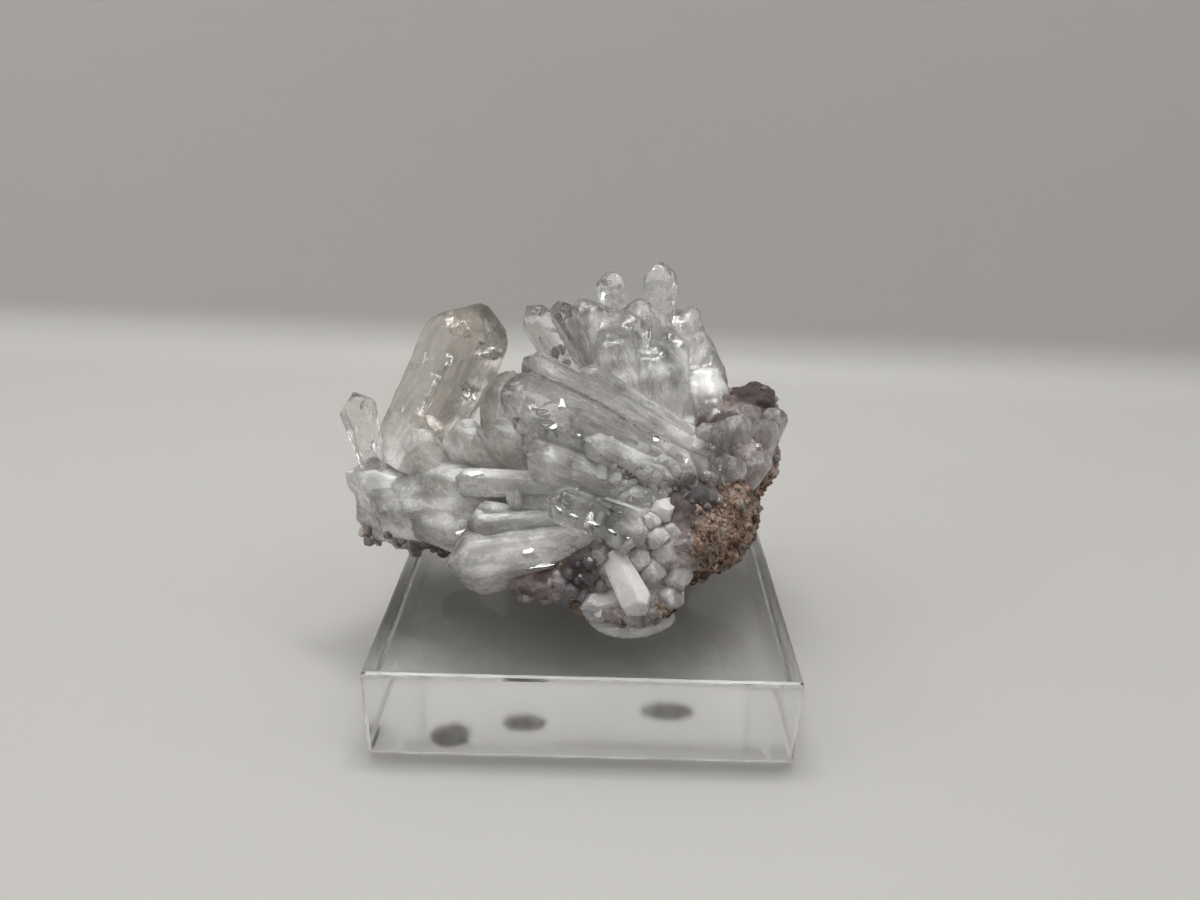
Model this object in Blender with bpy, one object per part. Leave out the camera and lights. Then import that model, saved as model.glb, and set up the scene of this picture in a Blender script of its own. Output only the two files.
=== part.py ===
"""Clear calcite crystals on a lump of rock, stuck to a clear display block.

The block stands on its flat underside, whose centre is the origin. +X runs to the right along the block's front edge,
+Y runs to the back and +Z runs up. Each spray of crystals that has grown together is one solid.
"""

import math
from collections import namedtuple

import bmesh
import bpy
from mathutils import Matrix, Vector, noise
from mathutils.bvhtree import BVHTree

MM = 0.001

# The display block
BLOCK_SIDE = 50 * MM
BLOCK_HEIGHT = 11.6 * MM
BLOCK_EDGE = 0.5 * MM

# The rock, as egg shapes that run into each other: centre, then half-lengths, in millimetres
ROCK_LOBES = {
    "middle": ((4, -1, 19.5), (13, 12, 7.0)),
    "front": ((2.5, -9.5, 17.5), (10.5, 6.0, 4.8)),
    "front_left": ((-5.0, -12.2, 17.2), (6.0, 3.6, 3.0)),
    "right": ((13.4, 1, 20.0), (9.0, 11, 7.2)),
    "right_face": ((11.5, -8.0, 20.5), (5.0, 6.0, 5.5)),
    "back_right": ((18.8, 8.5, 25.5), (7.2, 8.5, 7.2)),
    "knob": ((21.8, 12.5, 30.4), (3.6, 3.4, 3.4)),
    "left": ((-15, 0.5, 17.2), (13.5, 7.0, 3.6)),
    "back": ((3, 10, 20), (13, 9, 6.0)),
    "front_foot": ((4.6, -13.0, 14.8), (6.4, 3.6, 2.8)),
    "left_foot": ((-18.6, 4, 14.3), (3.0, 4.2, 2.4)),
    "middle_foot": ((-8.5, 8.8, 14.4), (3.6, 3.0, 2.5)),
    "back_foot": ((12, 14, 14.6), (4.2, 3.2, 2.7)),
}
ROCK_GRAIN = 1.1 * MM
ROCK_FACES = 1200
ROCK_SOFTENING = 4
ROCK_LUMP = 1.1 * MM
ROCK_LUMP_SPAN = 4.5 * MM
ROCK_FINE_SPAN = 0.45 * ROCK_LUMP_SPAN
ROCK_FINE_SHARE = 0.5
ROCK_FINE_SHIFT = Vector((9, 2, 5))
ROCK_SIT = 1.5 * MM

# Clear dots of adhesive between the rock's feet and the block: centre across the block, then half-lengths
GLUE_GAP = 0.25 * MM
GLUE_DOTS = {
    "front": ((5.6, -13.2), (5.4, 4.0)),
    "left": ((-18.6, 4.0), (2.8, 4.0)),
    "middle": ((-8.5, 8.8), (3.3, 2.8)),
    "back": ((12.0, 14.0), (4.0, 3.0)),
}
GLUE_SIDES = 18

# The side of a dot, from its foot to its top: share of the height, then share of the half-lengths
GLUE_PROFILE = ((0.0, 0.9), (0.35, 1.0), (1.0, 0.93))

# A crystal: the point where it leaves the rock, its tip, its width, its thickness and, as a share of these, its
# size at the root. A twin has a tip at both ends. Lengths are in millimetres.
Crystal = namedtuple("Crystal", "root tip width thick taper sides twin", defaults=(0.8, 10, False))

FRONT_SPRAY = {
    "chief": Crystal((14, -2.0, 25.5), (-10.6, -5.0, 38.6), 7.0, 5.6),
    "chief_back": Crystal((15, 0.5, 27.5), (-8.4, -1.8, 41.0), 5.2, 4.2),
    "chief_upper": Crystal((15, 2.0, 28.5), (-1.5, 0.5, 39.0), 4.2, 3.4, 0.8, 8),
    "splinter": Crystal((5, -5.5, 29.5), (-9.2, -6.6, 35.2), 2.8, 2.2, 0.8, 8),
    "second": Crystal((13, -5.0, 23.0), (-7.4, -8.8, 31.2), 5.0, 4.2),
    "seam": Crystal((13, -5.0, 26.0), (-0.5, -7.6, 33.0), 4.0, 3.2, 0.8, 8),
    "canoe": Crystal((7.0, -12.6, 23.4), (-4.8, -12.0, 27.4), 4.8, 3.8, 1.0, 10, True),
    "canoe_seat": Crystal((9.0, -7.5, 22.5), (0.5, -11.2, 25.4), 4.4, 3.6, 0.9, 8),
    "log": Crystal((3, -4.5, 25.5), (-16.4, -7.8, 27.2), 4.3, 4.0),
    "chip_flat": Crystal((-4, -8.5, 23.0), (-13.2, -10.4, 25.2), 2.2, 1.6, 0.9, 8),
    "chip_up": Crystal((-7.6, -8.5, 22.5), (-9.2, -10.2, 27.4), 1.9, 1.4, 0.9, 8),
    "keel": Crystal((9, -9.0, 22.0), (-16.6, -13.4, 18.6), 8.2, 6.4, 0.5, 12),
    "keel_upper": Crystal((7, -6.5, 23.0), (-14.6, -10.8, 23.0), 5.0, 4.0),
}
LEFT_SPRAY = {
    "great": Crystal((-24.6, 0.4, 25.0), (-14.3, 9.7, 44.7), 13.4, 9.2, 0.85, 12),
    "shoulder": Crystal((-12.5, 1.0, 20.0), (-10.8, 6.0, 37.0), 6.0, 5.0),
    "blade": Crystal((-26.2, -4.8, 23.4), (-31.0, 3.2, 34.3), 4.9, 2.8, 0.45, 8),
    "wing": Crystal((-16.5, -3.5, 20.5), (-26.4, 1.6, 34.4), 5.6, 4.2),
    "wing_low": Crystal((-15.0, -3.0, 19.5), (-22.4, -2.8, 32.0), 5.0, 4.0),
    "stub": Crystal((-10.5, 3.0, 20.0), (-17.0, -3.8, 32.8), 6.0, 5.2),
    "stub_right": Crystal((-6.0, 4.0, 20.0), (-12.4, -1.6, 32.4), 5.4, 4.8),
    "prow": Crystal((-13.0, -1.0, 20.5), (-31.6, -1.6, 24.2), 9.0, 7.0),
    "prow_low": Crystal((-12.0, 0.0, 17.5), (-30.8, -3.2, 19.4), 8.0, 5.4),
    "prow_front": Crystal((-9.0, -1.5, 19.5), (-26.0, -7.4, 21.6), 6.6, 5.4),
    "cloud": Crystal((-9.0, -1.0, 20.0), (-22.0, -8.0, 27.4), 7.0, 6.0),
    "cloud_low": Crystal((-7.0, -2.5, 18.5), (-19.6, -10.0, 21.6), 6.4, 5.0),
}
BACK_SPRAY = {
    "first": Crystal((3.5, 7.0, 26.5), (-9.2, 14.6, 43.4), 4.8, 4.2, 0.8, 8),
    "second": Crystal((4.5, 8.0, 26.5), (-5.4, 17.0, 43.4), 4.8, 4.0, 0.8, 8),
    "third": Crystal((5.0, 9.0, 26.5), (-2.4, 19.8, 43.6), 5.4, 4.4, 0.8, 8),
    "inner": Crystal((6.5, 7.0, 27.0), (1.6, 14.6, 40.6), 6.4, 5.4, 0.8, 8),
    "inner_right": Crystal((9.0, 7.0, 27.0), (8.2, 14.2, 38.6), 6.4, 5.4, 0.8, 8),
    "peak": Crystal((6.0, 9.0, 27.0), (2.0, 24.6, 46.2), 4.6, 3.8, 0.8, 8),
    "middle": Crystal((8.0, 9.0, 27.0), (6.0, 20.6, 43.4), 6.0, 5.0, 0.8, 8),
    "summit": Crystal((8.6, 9.5, 27.0), (9.7, 26.2, 47.2), 5.2, 4.4, 0.8, 8),
    "east": Crystal((10.0, 9.0, 27.0), (13.8, 22.6, 42.0), 4.8, 4.2, 0.8, 8),
    "east_low": Crystal((11.0, 8.0, 27.0), (15.8, 20.0, 38.6), 4.8, 4.0, 0.8, 8),
    "east_end": Crystal((12.0, 6.5, 27.0), (18.0, 16.6, 35.4), 4.6, 4.0, 0.8, 8),
    "wedge": Crystal((14.5, 6.0, 26.5), (18.6, 13.0, 33.0), 5.0, 3.6, 0.8, 8),
    "rear_left": Crystal((2.5, 9.0, 25.5), (-8.6, 21.0, 34.6), 5.2, 4.4, 0.8, 8),
    "rear": Crystal((4.5, 10.0, 25.5), (-0.6, 26.0, 37.0), 5.6, 4.6, 0.8, 8),
    "rear_right": Crystal((8.0, 10.5, 25.5), (9.6, 27.4, 36.4), 5.4, 4.6, 0.8, 8),
    "rear_end": Crystal((11.0, 9.0, 26.5), (17.0, 23.6, 31.6), 4.8, 4.0, 0.8, 8),
    "rear_low": Crystal((0.5, 10.5, 24.5), (-7.6, 24.0, 26.4), 4.6, 3.8, 0.8, 8),
    "rear_base": Crystal((6.0, 12.0, 24.5), (4.2, 27.2, 26.6), 4.8, 4.0, 0.8, 8),
}

# The solid calcite that each spray grows from: centre, then half-lengths, in millimetres
SPRAYS = {
    "crystal_spray_front": (FRONT_SPRAY, ((5.0, -5.0, 25.0), (7.0, 4.5, 4.0))),
    "crystal_spray_left": (LEFT_SPRAY, ((-15.5, -0.5, 21.5), (6.0, 4.5, 3.5))),
    "crystal_spray_back": (BACK_SPRAY, ((5.5, 12.5, 26.5), (9.5, 7.0, 4.0))),
}

BASE_FINENESS = 2

# Larger crystals that stand out of the rock
ROCK_CRYSTALS = {
    "foot": Crystal((0.6, -12.6, 21.6), (7.2, -17.4, 14.6), 4.2, 3.4),
    "foot_block": Crystal((6.5, -9.5, 16.5), (2.6, -16.8, 14.6), 4.6, 3.6, 0.9, 8),
    "foot_end": Crystal((-2.0, -9.5, 17.5), (-2.6, -15.8, 14.4), 3.4, 2.8, 0.9, 8),
    "cheek": Crystal((8.5, -7.5, 19.5), (9.4, -14.6, 19.6), 4.6, 4.0, 0.9, 8),
    "cheek_low": Crystal((9.0, -8.5, 17.5), (10.4, -15.2, 16.2), 4.0, 3.4, 0.9, 8),
    "spur": Crystal((12.5, 1.0, 23.0), (17.0, -0.6, 32.0), 4.0, 3.2, 0.8, 8),
    "slab": Crystal((11.0, -2.5, 22.0), (18.4, -5.6, 28.4), 5.6, 3.6, 0.8, 8),
    "slab_low": Crystal((9.5, -4.0, 21.0), (15.2, -9.4, 26.0), 4.6, 3.4, 0.8, 8),
    "flank": Crystal((17.0, 6.0, 25.0), (20.6, 1.6, 31.0), 5.0, 3.6, 0.9, 8),
    "flank_right": Crystal((19.5, 7.0, 25.0), (24.4, 4.0, 30.4), 4.6, 3.4, 0.9, 8),
    "flank_high": Crystal((19.5, 9.0, 26.0), (20.8, 7.0, 33.6), 4.4, 3.4, 0.9, 8),
}

# How a crystal is shaped
SIDE_FACE_TURN = math.radians(35)
CAP_FACE_LEAN = math.radians(48)
CAP_FACE_TURNS = (math.radians(90), math.radians(210), math.radians(330))
CAP_FACE_STEP = 0.08
CAP_SHARE = 0.34
CAP_LIMIT = 0.45
CAP_POINT = 0.94
FACE_SHARPNESS = 9
FACING = Vector((0, -0.75, 0.66))
NEARLY_PARALLEL = 0.1
TURN_STEP = math.radians(137.5)
TURN_RANGE = math.radians(50)
CAP_RINGS = (math.radians(32), math.radians(62))
STUB_CAP_RINGS = (math.radians(45),)

# Stubby crystals that coat the rock where no spray covers it
DRUSE_COUNT = 40
DRUSE_WIDTH = 2.6 * MM
DRUSE_RISE = 1.1 * MM
DRUSE_SINK = 1.2 * MM
DRUSE_FLATNESS = 0.8
DRUSE_LEAN = 0.5
DRUSE_SMALLEST = 0.75
DRUSE_SIZE_RANGE = 0.5
GOLDEN_SHARE = 0.618
DRUSE_SIDES = 6
DRUSE_SPACING = 3.1 * MM
DRUSE_CLEAR = 2.6 * MM

# Each material's colour and roughness
COLOURS = {
    "acrylic": ((0.93, 0.94, 0.95), 0.03),
    "glue": ((0.88, 0.88, 0.86), 0.25),
    "rock": ((0.33, 0.27, 0.25), 0.9),
    "calcite": ((0.86, 0.85, 0.83), 0.08),
}


def millimetres(numbers):
    """A place or a set of lengths given in millimetres, in metres."""
    return Vector(numbers) * MM


def add_object(name, mesh, colour):
    """A named object for the mesh, with its own material."""
    shade, roughness = COLOURS[colour]
    material = bpy.data.materials.new(name)
    material.use_nodes = True
    surface = material.node_tree.nodes["Principled BSDF"]
    surface.inputs["Base Color"].default_value = (*shade, 1)
    surface.inputs["Roughness"].default_value = roughness
    mesh.materials.clear()
    mesh.materials.append(material)
    obj = bpy.data.objects.new(name, mesh)
    bpy.context.scene.collection.objects.link(obj)
    return obj


def evaluated_mesh(obj):
    """The object's mesh with its modifiers applied."""
    bpy.context.view_layer.update()
    graph = bpy.context.evaluated_depsgraph_get()
    return bpy.data.meshes.new_from_object(obj.evaluated_get(graph))


def bake_modifiers(obj):
    """Replaces the object's mesh with the result of its modifiers."""
    mesh = evaluated_mesh(obj)
    obj.modifiers.clear()
    obj.data = mesh


def mesh_from_bmesh(name, bm):
    """A mesh made from the bmesh, with its faces pointing out."""
    bmesh.ops.recalc_face_normals(bm, faces=bm.faces)
    mesh = bpy.data.meshes.new(name)
    bm.to_mesh(mesh)
    bm.free()
    return mesh


def helper(name, mesh):
    """A cutter or a piece to be joined, which isn't part of the object itself."""
    obj = bpy.data.objects.new(name, mesh)
    bpy.context.scene.collection.objects.link(obj)
    obj.hide_render = True
    obj.display_type = "WIRE"
    return obj


# The display block


def make_block():
    """The clear block, with a narrow polished bevel along every edge."""
    bm = bmesh.new()
    bmesh.ops.create_cube(bm, size=1)
    bmesh.ops.scale(bm, vec=(BLOCK_SIDE, BLOCK_SIDE, BLOCK_HEIGHT), verts=bm.verts)
    bmesh.ops.translate(bm, vec=(0, 0, BLOCK_HEIGHT / 2), verts=bm.verts)
    bmesh.ops.bevel(bm, geom=bm.edges[:], offset=BLOCK_EDGE, segments=2, profile=0.5, affect="EDGES")
    return add_object("display_block", mesh_from_bmesh("display_block", bm), "acrylic")


# The rock


def egg(bm, centre, half_lengths, fineness=3):
    """Adds one egg shape to the bmesh."""
    made = bmesh.ops.create_icosphere(bm, subdivisions=fineness, radius=1)
    bmesh.ops.scale(bm, vec=millimetres(half_lengths), verts=made["verts"])
    bmesh.ops.translate(bm, vec=millimetres(centre), verts=made["verts"])


def lump_height(place):
    """How far the rock's surface stands out at a place."""
    broad = noise.noise(place / ROCK_LUMP_SPAN)
    fine = noise.noise(place / ROCK_FINE_SPAN + ROCK_FINE_SHIFT)
    return ROCK_LUMP * (broad + ROCK_FINE_SHARE * fine)


def trim_below(mesh, height):
    """Cuts the mesh off flat at a height and closes the cuts."""
    bm = bmesh.new()
    bm.from_mesh(mesh)
    everything = bm.verts[:] + bm.edges[:] + bm.faces[:]
    bmesh.ops.bisect_plane(bm, geom=everything, plane_co=(0, 0, height), plane_no=(0, 0, 1), clear_inner=True)
    bmesh.ops.holes_fill(bm, edges=[edge for edge in bm.edges if edge.is_boundary])
    bmesh.ops.recalc_face_normals(bm, faces=bm.faces)
    bm.to_mesh(mesh)
    bm.free()


def make_rock_mesh():
    """The rock's eggs run into one skin, roughened and set flat on its feet."""
    bm = bmesh.new()
    for centre, half_lengths in ROCK_LOBES.values():
        egg(bm, centre, half_lengths)
    skin = helper("rock_eggs", mesh_from_bmesh("rock_eggs", bm))
    remesh = skin.modifiers.new("skin", "REMESH")
    remesh.mode = "VOXEL"
    remesh.voxel_size = ROCK_GRAIN
    smooth = skin.modifiers.new("soften", "SMOOTH")
    smooth.iterations = ROCK_SOFTENING
    bake_modifiers(skin)
    normals = [vertex.normal.copy() for vertex in skin.data.vertices]
    for vertex, normal in zip(skin.data.vertices, normals):
        vertex.co += normal * lump_height(vertex.co)
    trim_below(skin.data, BLOCK_HEIGHT + ROCK_SIT)
    decimate = skin.modifiers.new("fewer_faces", "DECIMATE")
    decimate.ratio = ROCK_FACES / (2 * len(skin.data.polygons))
    bake_modifiers(skin)
    made = skin.data
    bpy.data.objects.remove(skin)
    return made


# The crystals


def crystal_faces(half_width, half_thickness, cap):
    """The planes that bound a crystal: each one's normal and its distance from the axis point below the tip."""
    planes = [(Vector((0, side, 0)), half_thickness) for side in (-1, 1)]
    for x in (-1, 1):
        for y in (-1, 1):
            normal = Vector((x * math.cos(SIDE_FACE_TURN), y * math.sin(SIDE_FACE_TURN), 0))
            planes.append((normal, half_width * math.cos(SIDE_FACE_TURN)))
    flat, rise = math.sin(CAP_FACE_LEAN), math.cos(CAP_FACE_LEAN)
    for step, around in enumerate(CAP_FACE_TURNS):
        normal = Vector((flat * math.cos(around), flat * math.sin(around), rise))
        planes.append((normal, cap * rise * (1.0 + CAP_FACE_STEP * (step - 1))))
    return planes


def reach(direction, planes):
    """How far the crystal's skin lies from the axis point in a direction, with its edges slightly rounded."""
    total = sum(max(0.0, normal.dot(direction) / away) ** FACE_SHARPNESS for normal, away in planes)
    return total ** (-1 / FACE_SHARPNESS)


def skin_between(bm, loops):
    """Joins each ring of points to the next with four-sided faces."""
    for lower, upper in zip(loops, loops[1:]):
        for side, start in enumerate(lower):
            after = (side + 1) % len(lower)
            bm.faces.new((start, lower[after], upper[after], upper[side]))


def close_with_point(bm, loop, height):
    """Closes a ring with a fan of faces to one point on the axis."""
    point = bm.verts.new((0, 0, height))
    for side, start in enumerate(loop):
        bm.faces.new((start, loop[(side + 1) % len(loop)], point))


def crystal_frame(root, axis, turn):
    """The matrix that stands a crystal on its root, with its broad faces turned to the front and up."""
    across = axis.cross(FACING)
    if across.length < NEARLY_PARALLEL:
        across = axis.cross(Vector((1, 0, 0)))
    across.normalize()
    back = axis.cross(across)
    frame = Matrix((across, back, axis)).transposed().to_4x4()
    return Matrix.Translation(root) @ frame @ Matrix.Rotation(turn, 4, "Z")


def crystal_mesh(root, tip, width, thickness, turn, taper=1.0, sides=10, twin=False, cap_rings=CAP_RINGS):
    """One crystal: rings of points up its body and over its cap, with a flat root or a second cap."""
    axis = tip - root
    length = axis.length
    axis.normalize()
    cap = min(CAP_SHARE * (width + thickness), CAP_LIMIT * length)
    planes = crystal_faces(width / 2, thickness / 2, cap)
    low = cap if twin else 0.0
    rings = [(low, 0.0), (length - cap, 0.0)] + [(length - cap, lean) for lean in cap_rings]
    if twin:
        rings = [(low, -lean) for lean in reversed(cap_rings)] + rings
    bm = bmesh.new()
    loops = []
    for height, lean in rings:
        share = 1.0 if twin or height > 0 else taper
        loop = []
        for side in range(sides):
            around = 2 * math.pi * side / sides
            level = Vector((math.cos(around), math.sin(around), 0)) * math.cos(lean)
            direction = level + Vector((0, 0, abs(math.sin(lean))))
            point = direction * reach(direction, planes) * share
            point.z = math.copysign(point.z, lean) if lean else 0.0
            loop.append(bm.verts.new(point + Vector((0, 0, height))))
        loops.append(loop)
    skin_between(bm, loops)
    close_with_point(bm, loops[-1], length - cap + CAP_POINT * cap)
    if twin:
        close_with_point(bm, loops[0][::-1], low - CAP_POINT * cap)
    else:
        bm.faces.new(loops[0][::-1])
    bmesh.ops.transform(bm, matrix=crystal_frame(root, axis, turn), verts=bm.verts)
    return mesh_from_bmesh("crystal", bm)


def largest_body(mesh):
    """The mesh without the small crumbs that a cut leaves beside its main body."""
    bm = bmesh.new()
    bm.from_mesh(mesh)
    waiting = set(bm.verts)
    bodies = []
    while waiting:
        body, edge = set(), {waiting.pop()}
        while edge:
            body |= edge
            edge = {link.other_vert(vert) for vert in edge for link in vert.link_edges} - body
        waiting -= body
        bodies.append(body)
    bodies.sort(key=len)
    crumbs = [vert for body in bodies[:-1] for vert in body]
    bmesh.ops.delete(bm, geom=crumbs, context="VERTS")
    bm.to_mesh(mesh)
    bm.free()
    return mesh


def combine(obj, others, operation):
    """Joins the other objects to obj, or cuts them from it, and removes them."""
    pool = bpy.data.collections.new("pool")
    bpy.context.scene.collection.children.link(pool)
    pool.hide_render = True
    for other in others:
        pool.objects.link(other)
    boolean = obj.modifiers.new(operation.lower(), "BOOLEAN")
    boolean.operation = operation
    boolean.operand_type = "COLLECTION"
    boolean.collection = pool
    boolean.solver = "EXACT"
    boolean.use_self = True
    bake_modifiers(obj)
    for other in list(pool.objects):
        bpy.data.objects.remove(other)
    bpy.data.collections.remove(pool)


def table_crystal(crystal, index, gap=0.0):
    """One crystal of a table as a helper object, or that crystal grown outwards by a gap all round."""
    root, tip = millimetres(crystal.root), millimetres(crystal.tip)
    axis = (tip - root).normalized()
    width, thickness = crystal.width * MM, crystal.thick * MM
    taper = (crystal.taper * width + 2 * gap) / (width + 2 * gap)
    turn = (index * TURN_STEP) % TURN_RANGE - TURN_RANGE / 2
    size = (width + 2 * gap, thickness + 2 * gap)
    mesh = crystal_mesh(root - axis * gap, tip + axis * gap, *size, turn, taper, crystal.sides, crystal.twin)
    return helper("crystal", mesh)


def base_egg(base, gap=0.0):
    """The solid calcite that a spray grows from, as a helper object."""
    centre, half_lengths = base
    bm = bmesh.new()
    egg(bm, centre, [length + gap / MM for length in half_lengths], BASE_FINENESS)
    return helper("base", mesh_from_bmesh("base", bm))


def spray_pieces(crystals, base, gap=0.0):
    """The base and all crystals of one spray, each as a closed helper object."""
    return [base_egg(base, gap)] + [table_crystal(each, index, gap) for index, each in enumerate(crystals.values())]


def make_spray(name, crystals, base, earlier):
    """All crystals of one spray grown together, ending a small gap short of the sprays made before it."""
    pieces = spray_pieces(crystals, base)
    combine(pieces[0], pieces[1:], "UNION")
    for other in earlier:
        combine(pieces[0], spray_pieces(*SPRAYS[other], GLUE_GAP), "DIFFERENCE")
    spray = add_object(name, largest_body(pieces[0].data), "calcite")
    bpy.data.objects.remove(pieces[0])
    return spray


def surface_tree(obj):
    """A search tree over the object's faces."""
    places = [vertex.co for vertex in obj.data.vertices]
    return BVHTree.FromPolygons(places, [face.vertices for face in obj.data.polygons])


def druse_sites(rock_mesh, sprays):
    """Points spread over the rock's open surface, with the direction in which a crystal stands there."""
    trees = [surface_tree(spray) for spray in sprays]
    sites = []
    for face in sorted(rock_mesh.polygons, key=lambda each: noise.noise(each.center / ROCK_GRAIN)):
        low = face.center.z < BLOCK_HEIGHT + ROCK_SIT + DRUSE_RISE
        covered = any(tree.find_nearest(face.center, DRUSE_CLEAR)[0] for tree in trees)
        crowded = any((face.center - place).length < DRUSE_SPACING for place, _ in sites)
        if not (low or covered or crowded):
            sites.append((face.center.copy(), face.normal.copy()))
    return sites[:DRUSE_COUNT]


def make_druse(rock_mesh, sprays):
    """Stubby crystals standing on the rock, each leaning a little its own way."""
    pieces = []
    for index, (place, normal) in enumerate(druse_sites(rock_mesh, sprays)):
        lean = noise.noise_vector(place / ROCK_GRAIN) * DRUSE_LEAN
        axis = (normal + lean).normalized()
        size = DRUSE_SMALLEST + DRUSE_SIZE_RANGE * ((index * GOLDEN_SHARE) % 1)
        root, tip = place - axis * DRUSE_SINK, place + axis * DRUSE_RISE * size
        width = DRUSE_WIDTH * size
        thickness = DRUSE_FLATNESS * width
        turn = index * TURN_STEP
        mesh = crystal_mesh(root, tip, width, thickness, turn, sides=DRUSE_SIDES, cap_rings=STUB_CAP_RINGS)
        pieces.append(helper("druse", mesh))
    return pieces


def make_glue(name, centre, half_lengths):
    """One squeezed dot of adhesive, with its side bulging out between block and rock."""
    low = BLOCK_HEIGHT + GLUE_GAP
    high = BLOCK_HEIGHT + ROCK_SIT - GLUE_GAP
    bm = bmesh.new()
    loops = []
    for rise, share in GLUE_PROFILE:
        height = low + rise * (high - low)
        loop = []
        for side in range(GLUE_SIDES):
            around = 2 * math.pi * side / GLUE_SIDES
            x = centre[0] * MM + share * half_lengths[0] * MM * math.cos(around)
            y = centre[1] * MM + share * half_lengths[1] * MM * math.sin(around)
            loop.append(bm.verts.new((x, y, height)))
        loops.append(loop)
    skin_between(bm, loops)
    bm.faces.new(loops[0][::-1])
    bm.faces.new(loops[-1])
    return add_object(name, mesh_from_bmesh(name, bm), "glue")


def main():
    """Builds the whole specimen."""
    for obj in list(bpy.data.objects):
        bpy.data.objects.remove(obj)
    make_block()
    for place, (centre, half_lengths) in GLUE_DOTS.items():
        make_glue(f"adhesive_dot_{place}", centre, half_lengths)
    rock_mesh = make_rock_mesh()
    rock = helper("rock_body", rock_mesh)
    combine(rock, [table_crystal(each, index) for index, each in enumerate(ROCK_CRYSTALS.values())], "UNION")
    sprays = []
    for name, (crystals, base) in SPRAYS.items():
        sprays.append(make_spray(name, crystals, base, list(SPRAYS)[:len(sprays)]))
        combine(rock, spray_pieces(crystals, base, GLUE_GAP), "DIFFERENCE")
    combine(rock, make_druse(rock_mesh, sprays), "UNION")
    add_object("rock", largest_body(rock.data), "rock")
    bpy.data.objects.remove(rock)


main()
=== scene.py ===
# %% [markdown]
# # A calcite specimen on a clear display block
# The object is a lump of purple-brown rock with three sprays of clear calcite crystals on it. Four dots of adhesive
# hold it on a square block of clear acrylic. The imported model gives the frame: every size here is in metres, and the
# block stands at the origin on its flat underside. This lesson dresses that frame, piece by piece.

import math
from collections import namedtuple

import bmesh
import bpy
import numpy as np
from mathutils import Matrix, Vector, noise
from mathutils.bvhtree import BVHTree


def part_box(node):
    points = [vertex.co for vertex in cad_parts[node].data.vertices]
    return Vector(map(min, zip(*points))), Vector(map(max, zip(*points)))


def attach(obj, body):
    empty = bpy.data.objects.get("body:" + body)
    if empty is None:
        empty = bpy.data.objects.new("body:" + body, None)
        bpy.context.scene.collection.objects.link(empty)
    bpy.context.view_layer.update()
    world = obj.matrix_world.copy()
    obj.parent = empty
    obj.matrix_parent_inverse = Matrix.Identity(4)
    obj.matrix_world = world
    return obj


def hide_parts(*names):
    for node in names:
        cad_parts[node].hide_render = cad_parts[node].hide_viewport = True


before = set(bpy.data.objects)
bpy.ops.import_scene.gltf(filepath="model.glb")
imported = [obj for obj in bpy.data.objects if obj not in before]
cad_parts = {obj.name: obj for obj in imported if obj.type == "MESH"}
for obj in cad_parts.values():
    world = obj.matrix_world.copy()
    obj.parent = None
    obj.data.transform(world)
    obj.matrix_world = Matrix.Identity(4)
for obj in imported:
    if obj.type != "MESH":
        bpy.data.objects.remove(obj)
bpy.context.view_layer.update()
MM = 0.001
BODY = "root"
print("nodes:", sorted(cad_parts))

# %% [markdown]
# ## Camera
# The photograph was taken from about ten centimetres away with a wide lens, a little above the crystals. The place
# and the lens were worked out from the block's corners. A wide lens this close makes the front of the block look much
# larger than its back, so both the distance and the focal length matter.

# %% Camera
CAMERA_PLACE = Vector((1.69, -103.33, 75.22)) * MM
CAMERA_DOWN = math.radians(24.33)
CAMERA_LEFT = math.radians(0.19)
CAMERA_ROLL = math.radians(1.31)
FOCAL_PIXELS = 873.6
PHOTO_WIDTH = 1200
SENSOR = 36.0
NEAR_CLIP = 0.005

camera_data = bpy.data.cameras.new("camera")
camera_data.sensor_width = SENSOR
camera_data.lens = SENSOR * FOCAL_PIXELS / PHOTO_WIDTH
camera_data.clip_start = NEAR_CLIP
camera = bpy.data.objects.new("camera", camera_data)
bpy.context.scene.collection.objects.link(camera)
turned = Matrix.Rotation(CAMERA_LEFT, 4, "Z") @ Matrix.Rotation(math.pi / 2 - CAMERA_DOWN, 4, "X")
camera.matrix_world = Matrix.Translation(CAMERA_PLACE) @ turned @ Matrix.Rotation(CAMERA_ROLL, 4, "Z")
bpy.context.scene.camera = camera
print(f"camera: {camera_data.lens:.1f} mm lens, {1000 * CAMERA_PLACE.length:.0f} mm from the block's underside")

# %% [markdown]
# ## Writing materials as sums
# A material in Blender is a network of nodes. Adding nodes one at a time makes long code, so one small class wraps a
# node's output. Adding or multiplying two wrapped outputs adds the Math node for it, and `make` adds any other node.

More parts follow.
